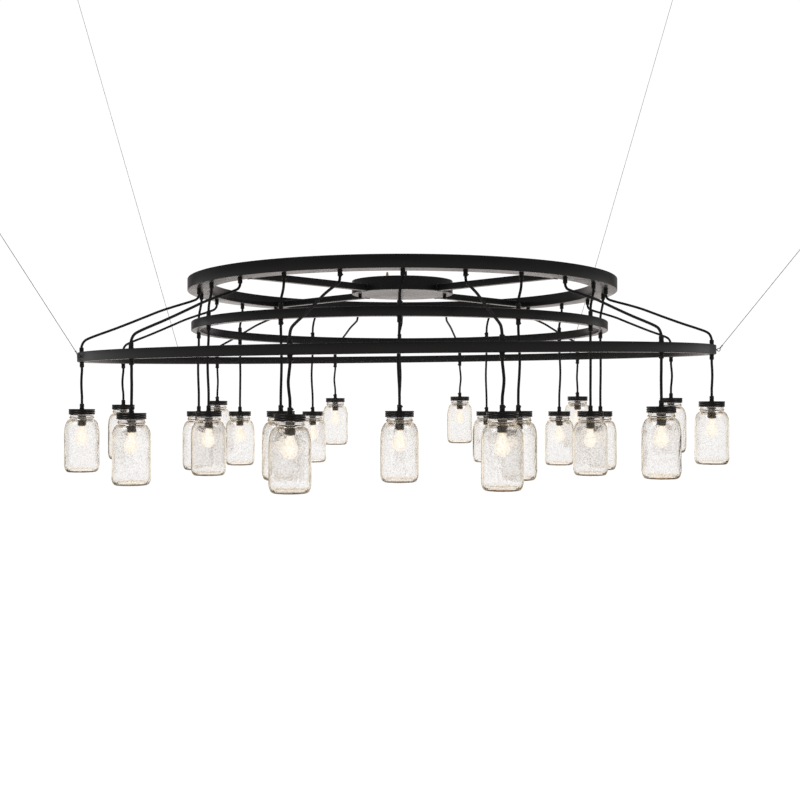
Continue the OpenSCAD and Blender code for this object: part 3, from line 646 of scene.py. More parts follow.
def make_materials():
    """Every finish, built once."""
    if "Powder coat" in bpy.data.materials:
        return
    for make in (coat_group, dust_group, wear_group, strands_group, turned_group, glass_group):
        make()
    finishes = settings("finishes")
    coated("Powder coat", finishes.paint, 0.27, 420.0)
    coated("Black fitting", finishes.fitting, 0.36, 900.0, dust=0.15, wear=0.7)
    coated("Lid enamel", finishes.lid, 0.34, 700.0, dust=0.3, wear=0.8)
    coated("Dark screw", (0.012, 0.012, 0.012, 1), 0.30, 900.0, dust=0.0, wear=1.0)
    metal("Zinc plate", (0.62, 0.62, 0.63, 1), 0.28)
    metal("Socket ring", (0.80, 0.79, 0.78, 1), 0.10, lines=0.3)
    metal("Brass base", (0.72, 0.60, 0.36, 1), 0.25, lines=0.5)
    moulded("Tan connector", (0.62, 0.44, 0.22, 1), 0.45)
    moulded("Wire cover", (0.02, 0.02, 0.02, 1), 0.42)
    moulded("Socket shell", (0.055, 0.050, 0.047, 1), 0.33)
    # The third colour of each stranded finish is painted shade for the grooves between strands
    stranded("Braided cord", finishes.cord, (0.001, 0.001, 0.001, 1), 0.55, 0.0, 12.0, 12.0, 1.0, 0.0003)
    stranded("Wire cable", (0.60, 0.57, 0.52, 1), (0.10, 0.09, 0.08, 1), 0.30, 1.0, 7.0, 1.0, 0.0, 0.0002)
    see_through("Jar glass", finishes.glass, 14.0, 0.2)
    lit_glass("Lit bulb", finishes.light, finishes.strength)


def paper_finish():
    """The floor: white under and behind the object, darker in front of it and at the sides. In reflections
    it is rosy and dims with height and to the sides. Through glass it is never dark, and tan in front."""
    material, tree, shader = new_material("Pale paper", Roughness=0.9, Base_Color=(0.05, 0.05, 0.05, 1))
    place = add(tree, "ShaderNodeTexCoord").outputs["Object"]
    parts = add(tree, "ShaderNodeSeparateXYZ", {0: place}).outputs
    ray = add(tree, "ShaderNodeLightPath").outputs
    through = ray["Is Transmission Ray"]
    out = maths(tree, "ABSOLUTE", parts["X"])
    lit = spread(tree, parts["Y"], -0.9, 0.3, 0.15, 1.0)
    side = spread(tree, out, 2.8, 3.6, 1.0, 0.2)
    far = maths(tree, "MAXIMUM", spread(tree, parts["Z"], -0.1, 0.2, 0.0, 0.4),
                spread(tree, out, 1.4, 2.4, 0.0, 0.8))
    mirrored = maths(tree, "MAXIMUM", 0.0, maths(tree, "SUBTRACT", ray["Is Glossy Ray"], through))
    dim = maths(tree, "SUBTRACT", 1.0, maths(tree, "MULTIPLY", mirrored, far))
    even = maths(tree, "MULTIPLY", maths(tree, "MULTIPLY", lit, side), dim)
    least = maths(tree, "MULTIPLY", through, 0.75)
    tree.links.new(maths(tree, "MAXIMUM", even, least), shader.inputs["Emission Strength"])
    near = maths(tree, "MULTIPLY", through, maths(tree, "SUBTRACT", 1.0, lit))
    colour = blend_colour(tree, near, blend_colour(tree, mirrored, WHITE, ROSY), TAN_FLOOR)
    tree.links.new(colour, shader.inputs["Emission Color"])
    return material


def surroundings(glow):
    """The world: white where it is seen, white through glass and tan where the view is steep, and for all
    else a soft glow, brighter near and below the horizon."""
    world = bpy.data.worlds.new("studio")
    world.use_nodes = True
    tree = world.node_tree
    sky = tree.nodes["Background"]
    ray = add(tree, "ShaderNodeLightPath").outputs
    direction = add(tree, "ShaderNodeTexCoord").outputs["Generated"]
    rise = add(tree, "ShaderNodeSeparateXYZ", {0: direction}).outputs["Z"]
    steep = maths(tree, "ABSOLUTE", rise)
    through = maths(tree, "MULTIPLY", ray["Is Transmission Ray"], spread(tree, steep, 0.25, 0.5, 1.0, 0.45))
    seen = maths(tree, "MAXIMUM", ray["Is Camera Ray"], through)
    soft = maths(tree, "MULTIPLY", spread(tree, rise, 0.062, 0.10, 3.6, 1.0), glow)
    tree.links.new(maths(tree, "MAXIMUM", seen, soft), sky.inputs["Strength"])
    edges = maths(tree, "MULTIPLY", ray["Is Transmission Ray"], spread(tree, steep, 0.35, 0.6))
    tree.links.new(blend_colour(tree, edges, WHITE, TAN_SKY), sky.inputs["Color"])
    return world


def lit_glass(name, colour, strength):
    """Frosted glass lit from inside: it glows most where it faces the eye and less at its edge."""
    _, tree, shader = new_material(name, Base_Color=(0.10, 0.095, 0.085, 1), Roughness=0.25)
    coat = group(tree, "Sprayed coat", Scale=200.0, Patches=60.0)
    light = tuple(colour)
    paler = tuple(0.5 + 0.5 * c for c in light[:3]) + (1,)
    tree.links.new(blend_colour(tree, coat["Patch"], light, paler), shader.inputs["Emission Color"])
    edge = add(tree, "ShaderNodeLayerWeight", {"Blend": 0.5}).outputs["Facing"]
    fading = spread(tree, edge, 0.02, 0.7, strength, 0.78 * strength)
    tree.links.new(fading, shader.inputs["Emission Strength"])
    bump(tree, shader, coat["Height"], 0.1, 0.00002)


# Making pieces

def build(name, shape, material, body=ROOT, nodes=(), sharp=32.0):
    """A piece of the object: its mesh, finish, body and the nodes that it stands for."""
    mesh = bpy.data.meshes.new(name)
    mesh.vertices.add(len(shape.points))
    mesh.vertices.foreach_set("co", shape.points.astype(np.float32).ravel())
    mesh.loops.add(shape.faces.size)
    mesh.loops.foreach_set("vertex_index", shape.faces.astype(np.int32).ravel())
    mesh.polygons.add(len(shape.faces))
    mesh.polygons.foreach_set("loop_start", np.arange(0, shape.faces.size, 4, dtype=np.int32))
    mesh.uv_layers.new(name="UVMap").data.foreach_set("uv", shape.uv.astype(np.float32).ravel())
    mesh.update(calc_edges=True)
    work = bmesh.new()
    work.from_mesh(mesh)
    bmesh.ops.remove_doubles(work, verts=work.verts, dist=1e-6)
    bmesh.ops.dissolve_degenerate(work, edges=work.edges, dist=1e-7)
    bmesh.ops.recalc_face_normals(work, faces=work.faces)
    work.to_mesh(mesh)
    work.free()
    mesh.shade_smooth()
    mesh.set_sharp_from_angle(angle=math.radians(sharp))
    piece = bpy.data.objects.new(name, mesh)
    bpy.context.scene.collection.objects.link(piece)
    mesh.materials.append(bpy.data.materials[material])
    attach(piece, body)
    if nodes:
        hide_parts(*nodes)
    return piece


def dress(node, material):
    """A CAD node keeps its mesh and gets a finish."""
    slots = bpy.data.objects[node].material_slots
    for item in slots:
        item.material = bpy.data.materials[material]


def square_ring(outer_d, width, height, corner, sections):
    """A ring of rectangular tube: a rounded rectangle turned round Z, its middle at the origin."""
    far, near, half = outer_d / 2, outer_d / 2 - width, height / 2
    profile = rounded([(near, -half), (far, -half), (far, half), (near, half)], corner, 4, True)
    return lathe(profile, sections, True)


def grip_shape():
    """A cord grip on z = 0: thin flange, barrel with two grooves, rounded end, shank below."""
    flange, barrel, top, bore = FLANGE_D / 2, GRIP_D / 2, GRIP_H - NOSE_H, BORE_R - CORD_FIT
    groove, low, high = 0.0005, FLANGE_H + 0.0030, FLANGE_H + 0.0042
    inset = barrel - groove
    corners = [(bore, -0.003), (SHANK_D / 2, -0.003), (SHANK_D / 2, 0), (flange, 0), (flange, FLANGE_H),
               (inset, FLANGE_H + 0.0001), (inset, FLANGE_H + 0.0006), (barrel, FLANGE_H + 0.0008),
               (barrel, low), (inset, low + 0.0002), (inset, high - 0.0002), (barrel, high), (barrel, top),
               (barrel - 0.0008, GRIP_H), (bore + 0.0006, GRIP_H), (bore, GRIP_H - 0.0006)]
    return lathe(rounded(corners, 0.0004, 2), 28)


def grip_screw_shape():
    """The side screw: a short rod along X with a hollow in its end."""
    r, end = SCREW_D / 2, GRIP_D / 2 + SCREW_OUT
    floor = end - 0.0012
    corners = [(0, BORE_R), (r, BORE_R), (r, end), (r * 0.55, end), (r * 0.5, floor), (0, floor)]
    rod = lathe(rounded(corners, 0.0003, 2), 14)
    z_to_x = np.array([[[0, 0, 1], [0, 1, 0], [-1, 0, 0]]])
    screw_z = GRIP_H - NOSE_H - SCREW_D / 2 - 0.001
    return placed(rod, z_to_x, [[0, 0, screw_z]])


def lid_shape():
    """A pressed lid: disc with a raised rim, two rolled ridges on the side, a curled edge, hollow inside."""
    r, wall = LID_R, LID_INNER_R
    outside = [(0, 0), (FLANGE_D / 2 + 0.002, 0), (FLANGE_D / 2 + 0.003, -0.0007), (r - 0.0072, -0.0007),
               (r - 0.0062, 0), (r - 0.0009, 0), (r, -0.0010), (r, -0.0036), (r - 0.0011, -0.0048),
               (r - 0.0011, -0.0056), (r, -0.0068), (r, -0.0088), (r - 0.0011, -0.0100),
               (r - 0.0011, -0.0112), (r, -0.0124), (r, -LID_H + 0.0007), (r - 0.0006, -LID_H),
               (wall + 0.0003, -LID_H), (wall, -LID_H + 0.0006), (wall, -LID_T), (0, -LID_T)]
    return lathe(rounded(outside, 0.0006, 2), 64)


def socket_shape():
    """The dark shell of a lamp socket: a cup with a lip and three ribs, hollow below."""
    r, top, low, bore = SOCKET_D / 2, -LID_T - 0.016, -LID_T - SOCKET_L, BASE_D / 2 + GAP
    ribs = [(r - 0.0002, top - 0.004), (r - 0.0009, top - 0.0046), (r - 0.0009, top - 0.0058),
            (r - 0.0002, top - 0.0064)]
    corners = [(0, top), (r - 0.0010, top), (r - 0.0002, top - 0.0008)] + ribs + [
        (r - 0.0002, low + 0.0050), (r, low + 0.0044), (r, low + 0.0006), (r - 0.0006, low),
        (bore + 0.0004, low), (bore, low + 0.0005), (bore, -LID_T - SOCKET_TOP), (0, -LID_T - SOCKET_TOP)]
    return lathe(rounded(corners, 0.0004, 2), 40)


def socket_ring_shape():
    """The metal upper part of a lamp socket: a cap and a ring with a rolled thread."""
    r, top, low = SOCKET_D / 2, -LID_T, -LID_T - 0.016
    steps = np.linspace(0, 1, 46)
    z = top - 0.0035 + (low - top + 0.0035) * steps
    wave = r - 0.0009 + 0.0007 * np.cos(2 * math.pi * (z - top) / 0.0030)
    side = np.stack([wave, z], 1)
    cap = rounded([(0, top), (r - 0.0014, top), (r - 0.0004, top - 0.0012), (r - 0.0004, top - 0.0030),
                   side[0]], 0.0005, 3)
    return lathe(np.concatenate([cap, side[1:], [(0, low)]]), 40)


def bulb_base_shape():
    """A rolled screw base: a rod whose radius follows a cosine."""
    top = -LID_T - SOCKET_L - 0.002
    z = np.linspace(0.002, 0.024, 54)
    r = BASE_D / 2 - 0.0006 + 0.0006 * np.cos(2 * math.pi * z / 0.0036)
    side = np.stack([r, top + z], 1)
    foot = [(0, top), (BASE_D / 2 - 0.0004, top), (BASE_D / 2 - 0.0002, top + 0.0015)]
    return lathe(np.concatenate([foot, side, [(0.004, top + 0.024), (0, top + 0.024)]]), 32)


def bulb_shape():
    """Pear-shaped glass: the neck widens by a cosine into the round end."""
    top, globe, neck = -LID_T - SOCKET_L - 0.002, BULB_D / 2, BASE_D / 2
    length = BULB_L - globe
    t = np.linspace(0, 1, 20)
    pear = np.stack([neck + (globe - neck) * (1 - np.cos(math.pi * t)) / 2, top - length * t], 1)
    return lathe(np.concatenate([[(0, top)], pear, arc((0, top - length), globe, 0, -90, 16)[1:]]), 40)


def jar_shape():
    """A pressed jar, base at z = 0. The outline gives the radius at each height: punt, elliptic heel,
    straight side, elliptic shoulder, neck. Four flat panels cut the side where (1 - d/R) / cos(angle to the
    panel's middle) is under 1, blended softly; the neck has a bead and a thread that climbs with the angle;
    slow waves run over all."""
    s = settings("jars")
    body, neck = JAR_D / 2, NECK_D / 2
    turn_t = np.arange(s.columns) * 2 * math.pi / s.columns

    def heel(inset, foot, steps):
        """A quarter ellipse from the foot out to the side."""
        a = np.radians(np.linspace(0, 90, steps))
        rise = foot + (HEEL_H - foot) * (1 - np.cos(a))
        return np.stack([body - HEEL_W + (HEEL_W - inset) * np.sin(a), rise], 1)

    def shoulder(inset, steps):
        """A quarter ellipse from the side in to the neck."""
        a = np.radians(np.linspace(0, 90, steps))
        return np.stack([neck - inset + (body - neck) * np.cos(a),
                         JAR_H - SHOULDER_DEPTH + (SHOULDER_H - inset) * np.sin(a)], 1)

    side_z = np.linspace(HEEL_H, JAR_H - SHOULDER_DEPTH, 20)[1:-1]
    neck_z = np.linspace(JAR_H - SHOULDER_DEPTH + SHOULDER_H, JAR_H - 0.0012, 48)[1:]
    ring = [(0, 0.0026), (0.012, 0.0024), (0.024, 0.0020), (body - HEEL_W - 0.0060, 0.0018),
            (body - HEEL_W - 0.0045, 0.0006), (body - HEEL_W - 0.0020, 0.0)]
    outer = np.concatenate([ring, heel(0, 0, 12), np.stack([0 * side_z + body, side_z], 1), shoulder(0, 16),
                            np.stack([0 * neck_z + neck, neck_z], 1)])
    lip = [(neck - 0.0003, JAR_H - 0.0004), (neck - 0.0009, JAR_H), (neck - GLASS_T + 0.0009, JAR_H),
           (neck - GLASS_T + 0.0002, JAR_H - 0.0005), (neck - GLASS_T, JAR_H - 0.0015)]
    inner = np.concatenate([[(neck - GLASS_T, JAR_H - 0.012)], shoulder(GLASS_T, 14)[::-1],
                            np.stack([0 * side_z[::-2] + body - GLASS_T, side_z[::-2]], 1),
                            heel(GLASS_T, BASE_T, 10)[::-1],
                            [(0.018, BASE_T + 0.0006), (0, BASE_T + 0.0008)]])
    flat = np.concatenate([outer, lip, inner])
    on_outside = (np.arange(len(flat)) < len(outer))[:, None]
    r, z = flat[:, :1], flat[:, 1:]
    nearest = (turn_t + math.pi / 4) % (math.pi / 2) - math.pi / 4
    chord = (1 - s.panel / body) / np.cos(nearest)
    softness = 0.012
    cut = 0.5 * (1 + chord - np.sqrt((1 - chord) ** 2 + softness ** 2)) - 1
    window = np.clip((z - 0.014) / 0.014, 0, 1) * np.clip((0.128 - z) / 0.014, 0, 1)
    window = window * window * (3 - 2 * window)
    waves = (np.sin(3 * turn_t + 70 * z) * np.sin(5 * turn_t - 160 * z) + 0.6 * np.sin(11 * turn_t + 310 * z)
             * np.sin(7 * turn_t - 420 * z))
    radius = r * (1 + window * cut * np.where(on_outside, 1.0, 0.55))
    radius = radius + s.ripple * window * waves * np.where(on_outside, 1.0, -1.6)
    bead = COLLAR_OUT * np.exp(-((z - 0.1512) / 0.0016) ** 2)
    pitch, start = 0.0060, JAR_H - 0.0045
    place = (start - z) / pitch - turn_t / (2 * math.pi)
    whole = np.round(place)
    past = whole + turn_t / (2 * math.pi)
    fade = np.clip(past * 6 + 0.5, 0, 1) * np.clip((s.turns - past) * 6 + 0.5, 0, 1)
    thread = THREAD_OUT * fade * np.exp(-((place - whole) * pitch / 0.0011) ** 2)
    above = z > JAR_H - SHOULDER_DEPTH + SHOULDER_H
    radius = radius + np.where(on_outside & above, np.maximum(bead, thread), 0)
    return grid(np.stack([radius * np.cos(turn_t), radius * np.sin(turn_t), z + 0 * turn_t], -1))


def arm_shape(angle):
    """A square tube with rounded edges from the canopy to the top ring: straight lines between its section
    laid on the canopy's side and on the ring's inside, and a rippled weld bead round each end."""
    s = settings("rings")
    half = ARM_SIDE / 2
    section = rounded([(-half, -half), (half, -half), (half, half), (-half, half)], s.corner, 4, True)
    across, up = section.T
    near = np.sqrt((CANOPY_D / 2 + ARM_FIT) ** 2 - across ** 2)
    far = np.sqrt((TOP_D / 2 - TOP_W - ARM_FIT) ** 2 - across ** 2)
    share = np.linspace(0, 1, 25)[:, None]
    run = near + share * (far - near)
    centre_z = -CANOPY_H + half
    rows = np.stack([run, 0 * run + across, 0 * run + up], -1)
    ends = rows[[0, -1]] * 0 + [[[rows[k, :, 0].mean(), 0, 0]] for k in (0, -1)]
    tube = grid(np.concatenate([ends[:1], rows, ends[1:]]))
    beads = [weld_bead(np.stack([x, across, up], -1), s.weld) for x in (near + 0.0003, far - 0.0003)]
    return placed(join(tube, *beads), turn(angle - 90), [[0, 0, centre_z]])


def weld_bead(loop, size):
    """A closed round bead along a loop of points, its radius rippled by a cosine of the distance."""
    points, ripples, depth = 96, 30, 0.16
    closed = np.concatenate([loop, loop[:1]])
    run = np.concatenate([[0], np.cumsum(np.linalg.norm(np.diff(closed, axis=0), axis=1))])
    share = np.arange(points) / points
    path = np.stack([np.interp(share * run[-1], run, closed[:, k]) for k in range(3)], 1)
    tangent = unit(np.roll(path, -1, 0) - np.roll(path, 1, 0))
    u = unit(np.cross(tangent, [1.0, 0, 0]))
    radius = size * (1 + depth * np.cos(share * 2 * math.pi * ripples))
    beads = circles(path, u, np.cross(tangent, u), radius, 8)
    return grid(beads, True, True)


def canopy_shape():
    """A pressed pan, open at the top: rounded lower edge and rolled rim."""
    r, low = CANOPY_D / 2, -CANOPY_H
    corners = [(0, low), (r - 0.012, low), (r, low), (r, -0.0012), (r - SHEET / 2, 0), (r - SHEET, -0.0012),
               (r - SHEET, low + SHEET), (0, low + SHEET)]
    sizes = [0, 0.0005, 0.0035, 0.0006, 0.0006, 0.0006, 0.0025, 0]
    return lathe(rounded(corners, sizes, 6), 160)


def nut_shape():
    """A dome nut, blind at its foot: flange, groove and round end."""
    r, top = NUT_D / 2, -CANOPY_H - GAP
    bore, cap, neck = 0.0025 + 0.00005, top - NUT_H + 0.004, r - 0.0012
    corners = [(0, cap), (bore, cap), (bore, top), (r, top), (r, top - 0.0022),
               (neck, top - 0.0026), (neck, top - 0.0034)]
    knob = arc((0, top - NUT_H + 0.0055), 0.0055, 15, -90, 14)
    return lathe(np.concatenate([rounded(corners, 0.0003, 2), knob]), 40)


def connector_shape():
    """A twist-on connector: a cone with twelve flutes, r = cone (1 - 0.06 cos 12 t), and a plain skirt."""
    h, wide = 0.024, 0.006
    rows = np.array([(0, 0), (0.0016, -0.0001), (0.0028, -0.0008), (0.0033, -0.003), (0.0043, -0.010),
                     (0.0052, -0.017), (0.0054, -0.0185), (wide - 0.0002, -0.0192), (wide, -0.0205),
                     (wide, -h), (wide - 0.0018, -h), (0.0024, -h / 2), (0, -h / 2)])
    fluted = np.array([0, 0, 0.5, 1, 1, 1, 0, 0, 0, 0, 0, 0, 0])[:, None]
    t = np.arange(48) * 2 * math.pi / 48
    r = rows[:, :1] * (1 - 0.06 * fluted * (1 + np.cos(12 * t)) / 2)
    return grid(np.stack([r * np.cos(t), r * np.sin(t), rows[:, 1:] + 0 * t], -1))


def strap_shape():
    """A flat strap bent over into a loop: its rounded section carried up one leg, round the top and down."""
    outer = BAR_W / 2 - 0.001
    middle, thick, half = outer - BAR_T / 2, BAR_T / 2, STRAP_W / 2
    bend = arc((0, STRAP_H - outer), middle, 0, 180, 26)
    leg = np.linspace(0, 1, 8)[:, None]
    right = np.array([[middle, 0]]) + leg * np.array([[0, STRAP_H - outer]])
    line = np.concatenate([right[:-1], bend, (right * [-1, 1])[::-1][1:]])
    tangent = unit(np.gradient(line, axis=0))
    normal = np.stack([tangent[:, 1], -tangent[:, 0]], 1)
    section = rounded([(-thick, -half), (thick, -half), (thick, half), (-thick, half)], 0.0008, 3, True)
    places = line[:, None] + section[None, :, :1] * normal[:, None]
    x = np.broadcast_to(section[None, :, 1] + STRAP_W / 2 + 0.002, places.shape[:2])
    rows = np.stack([x, places[..., 0], places[..., 1]], -1)
    ends = np.broadcast_to(rows[[0, -1]].mean(1, keepdims=True), (2,) + rows.shape[1:])
    return grid(np.concatenate([ends[:1], rows, ends[1:]]))


def wire_ring_shape(angle, spot, ring_d, wire_d):
    """A ring of wire in the upright plane of its cable's lean."""
    upright = turn(angle - 90) @ np.array([[1, 0, 0], [0, 0, -1], [0, 1, 0]])
    return placed(torus((ring_d - wire_d) / 2, wire_d / 2, 36, 14), upright, [spot])


# Operators

class Maker:
    bl_options = {"REGISTER", "UNDO"}


class CHANDELIER_OT_camera(Maker, bpy.types.Operator):
    """Puts the camera in front of the chandelier, level with the jars' lids"""
    bl_idname = "chandelier.camera"
    bl_label = "Camera"

    def execute(self, context):
        frame_px, focal_px, horizon_px, sensor_mm = 800, 1123.6, 412.5, 36.0
        data = bpy.data.cameras.new("front_camera")
        data.sensor_width = sensor_mm
        data.lens = focal_px / frame_px * sensor_mm
        data.shift_y = (horizon_px - frame_px / 2) / frame_px
        data.clip_end = 60.0
        camera = bpy.data.objects.new("front_camera", data)
        camera.location = (-0.0068, -3.341, -0.390)
        camera.rotation_euler = (math.pi / 2, 0, 0)
        context.scene.collection.objects.link(camera)
        context.scene.camera = camera
        return {"FINISHED"}


class CHANDELIER_OT_cords(Maker, bpy.types.Operator):
    """Hangs the pendant cords, from the top ring through the lower rings to the lids"""
    bl_idname = "chandelier.cords"
    bl_label = "Pendant cords"

    def execute(self, context):
        make_materials()
        sets = (("inner", INNER_ANGLES, inner_path, -1, 0.342), ("outer", OUTER_ANGLES, outer_path, 1, 0.525))
        for name, angles, route, first_side, length in sets:
            for i, angle in enumerate(angles):
                path = smooth_path(route(angle, first_side * (1 if i % 2 == 0 else -1)), 5)
                tube = sweep(path, CORD_D / 2, 14, sideways(angle))
                cord = build(f"cord_{name}_{i + 1:02d}", tube, "Braided cord", ROOT, [f"{name}_cords"])
        return {"FINISHED"}


class CHANDELIER_OT_cables(Maker, bpy.types.Operator):
    """Stretches the suspension cables from the outer ring's screw eyes to their end loops"""
    bl_idname = "chandelier.cables"
    bl_label = "Suspension cables"

    def execute(self, context):
        make_materials()
        start, wide, pinch = EYE_D / 2 + GAP, FERRULE_D / 2, FERRULE_D / 2 - 0.0006
        sleeve = lathe(rounded([(0, 0), (wide, 0), (wide, 0.0045), (pinch, 0.0050), (pinch, 0.0070),
                                (wide, 0.0075), (wide, FERRULE_L), (0, FERRULE_L)], 0.0005, 3), 24)
        for name, angle, rise, length in CABLES:
            eye, slope = cable_line(angle, rise)
            ends = np.array([start + 0.001, length - 0.001])
            path = eye + np.linspace(ends[0], ends[1], 25)[:, None] * slope
            cable = build("cable_" + name, sweep(path, CABLE_D / 2, 12, sideways(angle)), "Wire cable",
                          ROOT, ["suspension_cables"])
            spots = [eye + start * slope, eye + (length - FERRULE_L) * slope]
            sleeves = build("sleeves_" + name, placed(sleeve, along(slope), spots), "Zinc plate", ROOT,
                            ["cable_ferrules"])
            far = eye + (length + LOOP_D / 2 + GAP) * slope
            loop = build("loop_" + name, wire_ring_shape(angle, far, LOOP_D, LOOP_WIRE), "Zinc plate", ROOT,
                         ["cable_loops"])
        collar = lathe(rounded([(0, 0), (0.0020, 0), (0.0020, EYE_COLLAR), (0.0013, EYE_COLLAR + 0.0009),
                                (0, EYE_COLLAR + 0.0010)], 0.0003, 2), 20)
        parts = []
        for _, angle, rise, _ in CABLES:
            eye, _ = cable_line(angle, rise)
            outwards = OUTER_FRAME @ around(1.0, angle)
            foot = on_outer(around(OUTER_D / 2, angle))
            parts += [wire_ring_shape(angle, eye, EYE_D, EYE_WIRE), placed(collar, along(outwards), [foot])]
        build("screw_eyes", join(*parts), "Dark screw", ROOT, ["cable_eyes"])
        return {"FINISHED"}


class CHANDELIER_OT_rings(Maker, bpy.types.Operator):
    """Rolls the three rings"""
    bl_idname = "chandelier.rings"
    bl_label = "Rings"

    def execute(self, context):
        make_materials()
        s = settings("rings")
        rings = (
            ("top", TOP_D, TOP_W, TOP_H, LEVEL, (0, 0, -CANOPY_H + TOP_H / 2)),
            ("middle", MIDDLE_D, TUBE, TUBE, LEVEL, (MIDDLE_SHIFT, 0, MIDDLE_Z)),
            ("outer", OUTER_D, TUBE, TUBE, OUTER_FRAME[None], (OUTER_SHIFT, 0, OUTER_Z)))
        for name, outer_d, width, height, lean, spot in rings:
            shape = placed(square_ring(outer_d, width, height, s.corner, s.sections), lean, [spot])
            build(name + "_ring_tube", shape, "Powder coat", ROOT, [name + "_ring"], 40.0)
        return {"FINISHED"}


class CHANDELIER_OT_arms(Maker, bpy.types.Operator):
    """Welds the four arms between the canopy and the top ring"""
    bl_idname = "chandelier.arms"
    bl_label = "Arms"

    def execute(self, context):
        make_materials()
        names = ("arm_front_right", "arm_back_right", "arm_back_left", "arm_front_left")
        for name, angle in zip(names, (45, 135, 225, 315)):
            build(name + "_tube", arm_shape(angle), "Powder coat", ROOT, [name], 40.0)
        return {"FINISHED"}


class CHANDELIER_OT_canopy(Maker, bpy.types.Operator):
    """Presses the canopy pan and adds what is in and on it"""
    bl_idname = "chandelier.canopy"
    bl_label = "Canopy"

    def execute(self, context):
        make_materials()
        build("canopy_pan_pressed", canopy_shape(), "Powder coat", ROOT, ["canopy_pan"])
        build("strap_bent", strap_shape(), "Powder coat", ROOT, ["hanging_strap"], 50.0)
        spots = MM * np.array([(-45, 26, 31), (30, 34, -3), (52, 28, -3)])
        build("twist_connectors", placed(connector_shape(), LEVEL, spots), "Tan connector", ROOT,
              ["wire_connectors"])
        for side, x in (("left", -STUD_X), ("right", STUD_X)):
            build("dome_nut_" + side, placed(nut_shape(), LEVEL, [[x, 0, 0]]), "Black fitting",
                  "nut_" + side, ["canopy_nut_" + side])
        for node, finish in (("mounting_bar", "Zinc plate"), ("mounting_screws", "Zinc plate"),
                             ("wire_harness", "Wire cover")):
            dress(node, finish)
        return {"FINISHED"}


class CHANDELIER_OT_grips(Maker, bpy.types.Operator):
    """Fits the cord grips and their side screws to the rings and lids"""
    bl_idname = "chandelier.grips"
    bl_label = "Cord grips"

    def execute(self, context):
        make_materials()
        inner, outer = INNER_ANGLES, OUTER_ANGLES
        sets = (
            ("top_ring_grips", turn(ALL_ANGLES, True), around(TOP_CORD_R, ALL_ANGLES, -CANOPY_H)),
            ("middle_upper_grips", turn(inner), middle_point(inner, TUBE / 2)),
            ("middle_lower_grips", turn(inner, True), middle_point(inner, -TUBE / 2)),
            ("outer_upper_grips", OUTER_FRAME @ turn(outer), outer_point(outer, TUBE / 2)),
            ("outer_lower_grips", OUTER_FRAME @ turn(outer, True), outer_point(outer, -TUBE / 2)),
            ("lid_grips", turn(ALL_ANGLES), LIDS))
        screws = []
        for node, turns, spots in sets:
            build(node + "_turned", placed(grip_shape(), turns, spots), "Black fitting", ROOT, [node])
            screws.append(placed(grip_screw_shape(), turns, spots))
        build("side_screws", join(*screws), "Dark screw", ROOT, ["grip_screws"])
        return {"FINISHED"}


class CHANDELIER_OT_lids(Maker, bpy.types.Operator):
    """Presses the jar lids"""
    bl_idname = "chandelier.lids"
    bl_label = "Lids"

    def execute(self, context):
        make_materials()
        build("pressed_lids", placed(lid_shape(), turn(ALL_ANGLES), LIDS), "Lid enamel", ROOT, ["jar_lids"],
              40.0)
        return {"FINISHED"}


class CHANDELIER_OT_lamps(Maker, bpy.types.Operator):
    """Hangs the sockets and lit bulbs under the lids"""
    bl_idname = "chandelier.lamps"
    bl_label = "Lamps"

    def execute(self, context):
        make_materials()
        for name, shape, finish, node, slot in (
                ("socket_shells", socket_shape(), "Socket shell", "lamp_sockets", "socket_grey"),
                ("socket_rings", socket_ring_shape(), "Socket ring", "lamp_sockets", "socket_grey"),
                ("screw_bases", bulb_base_shape(), "Brass base", "bulb_bases", "brass_base"),
                ("lit_bulbs", bulb_shape(), "Lit bulb", "bulbs", "lamp_glass")):
            build(name, placed(shape, turn(ALL_ANGLES), LIDS), finish, ROOT, [node])
        return {"FINISHED"}


class CHANDELIER_OT_jars(Maker, bpy.types.Operator):
    """Presses the glass jars, each turned its own way"""
    bl_idname = "chandelier.jars"
    bl_label = "Jars"

    def execute(self, context):
        make_materials()
        shape = jar_shape()
        base_down = LID_T + GAP + JAR_H
        for k, lid in enumerate(LIDS):
            node = f"jar_{'inner' if k < PENDANTS else 'outer'}_{k % PENDANTS + 1:02d}"
            jar = placed(shape, turn(37.0 * k + 12.0), [lid - [0, 0, base_down]])
            build("glass_" + node, jar, "Jar glass", node + "_body", [node], 60.0)
        return {"FINISHED"}


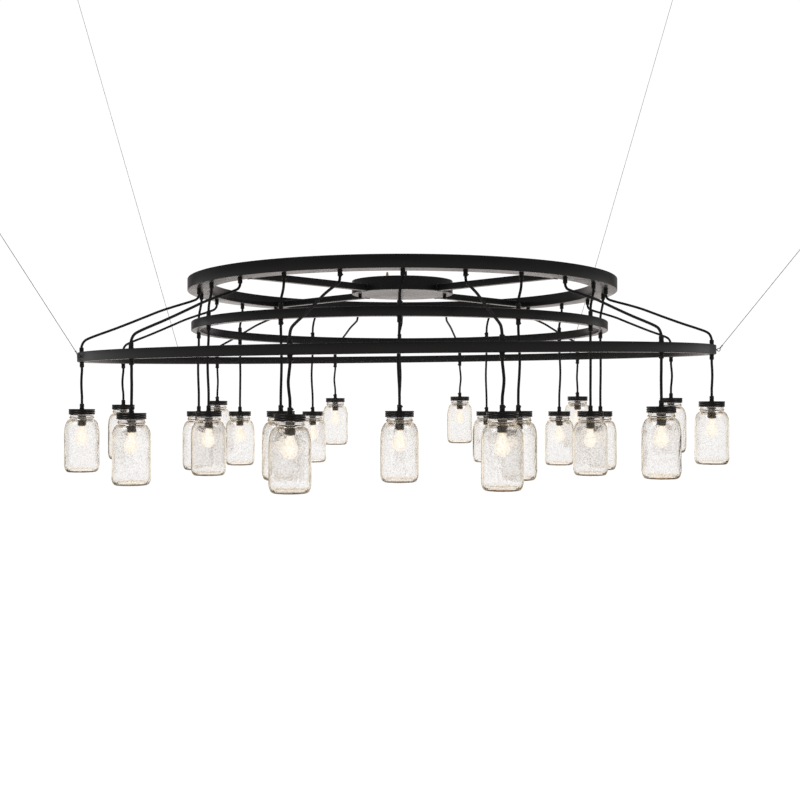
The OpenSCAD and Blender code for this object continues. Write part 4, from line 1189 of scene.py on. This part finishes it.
class CHANDELIER_OT_stage(Maker, bpy.types.Operator):
    """Lays a pale floor that curves up into a back wall, and sets soft lights"""
    bl_idname = "chandelier.stage"
    bl_label = "Stage"

    def execute(self, context):
        s = settings("stage")
        scene = context.scene
        bend, front, wall_top, half_w = 1.2, -6.0, 4.5, 4.5
        corner = arc((s.back - bend, s.floor + bend), bend, -90, 0, 24)
        line = np.concatenate([[(front, s.floor)], corner, [(s.back, wall_top)]])
        x = np.linspace(-half_w, half_w, 3)
        points = np.stack(np.broadcast_arrays(x[None, :], line[:, :1], line[:, 1:]), -1)
        shape = grid(points, False)
        mesh = bpy.data.meshes.new("floor")
        mesh.from_pydata(shape.points.tolist(), [], shape.faces.tolist())
        mesh.shade_smooth()
        floor = bpy.data.objects.new("floor", mesh)
        scene.collection.objects.link(floor)
        mesh.materials.append(paper_finish())
        lights = (("high_left", (-3.0, -2.2, 3.2), 45.0), ("high_right", (3.2, -1.6, 3.0), 35.0))
        disc_d, aim = 2.4, (0, 0, -0.4)
        for name, spot, power in lights:
            data = bpy.data.lights.new(name, "AREA")
            data.shape, data.size, data.energy = "DISK", disc_d, power
            lamp = bpy.data.objects.new(name, data)
            lamp.location = spot
            away = np.array(spot) - aim
            lamp.rotation_euler = (math.atan2(math.hypot(away[0], away[1]), away[2]), 0,
                                   math.atan2(away[0], -away[1]))
            scene.collection.objects.link(lamp)
        scene.world = surroundings(s.glow)
        scene.view_settings.view_transform = "Standard"
        return {"FINISHED"}


STEPS = (CHANDELIER_OT_camera, CHANDELIER_OT_cords, CHANDELIER_OT_cables, CHANDELIER_OT_rings,
         CHANDELIER_OT_arms, CHANDELIER_OT_canopy, CHANDELIER_OT_grips, CHANDELIER_OT_lids,
         CHANDELIER_OT_lamps, CHANDELIER_OT_jars, CHANDELIER_OT_stage)


class CHANDELIER_PT_panel(bpy.types.Panel):
    """The chandelier's settings and steps"""
    bl_idname = "CHANDELIER_PT_panel"
    bl_label = "Chandelier"
    bl_space_type = "VIEW_3D"
    bl_region_type = "UI"
    bl_category = "Chandelier"

    def draw(self, context):
        for name in SETTINGS:
            group_of = getattr(context.scene, name)
            box = self.layout.box()
            for key in group_of.__annotations__:
                box.prop(group_of, key)
        for step in STEPS:
            self.layout.operator(step.bl_idname)


def register():
    for kind in (*SETTINGS.values(), *STEPS, CHANDELIER_PT_panel):
        bpy.utils.register_class(kind)
    for name, kind in SETTINGS.items():
        setattr(bpy.types.Scene, name, PointerProperty(type=kind))


def unregister():
    for name in SETTINGS:
        delattr(bpy.types.Scene, name)
    for kind in (CHANDELIER_PT_panel, *reversed(STEPS), *SETTINGS.values()):
        bpy.utils.unregister_class(kind)


def main():
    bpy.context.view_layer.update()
    register()
    for step in STEPS:
        area, name = step.bl_idname.split(".")
        getattr(getattr(bpy.ops, area), name)()


if __name__ == "__main__":
    main()
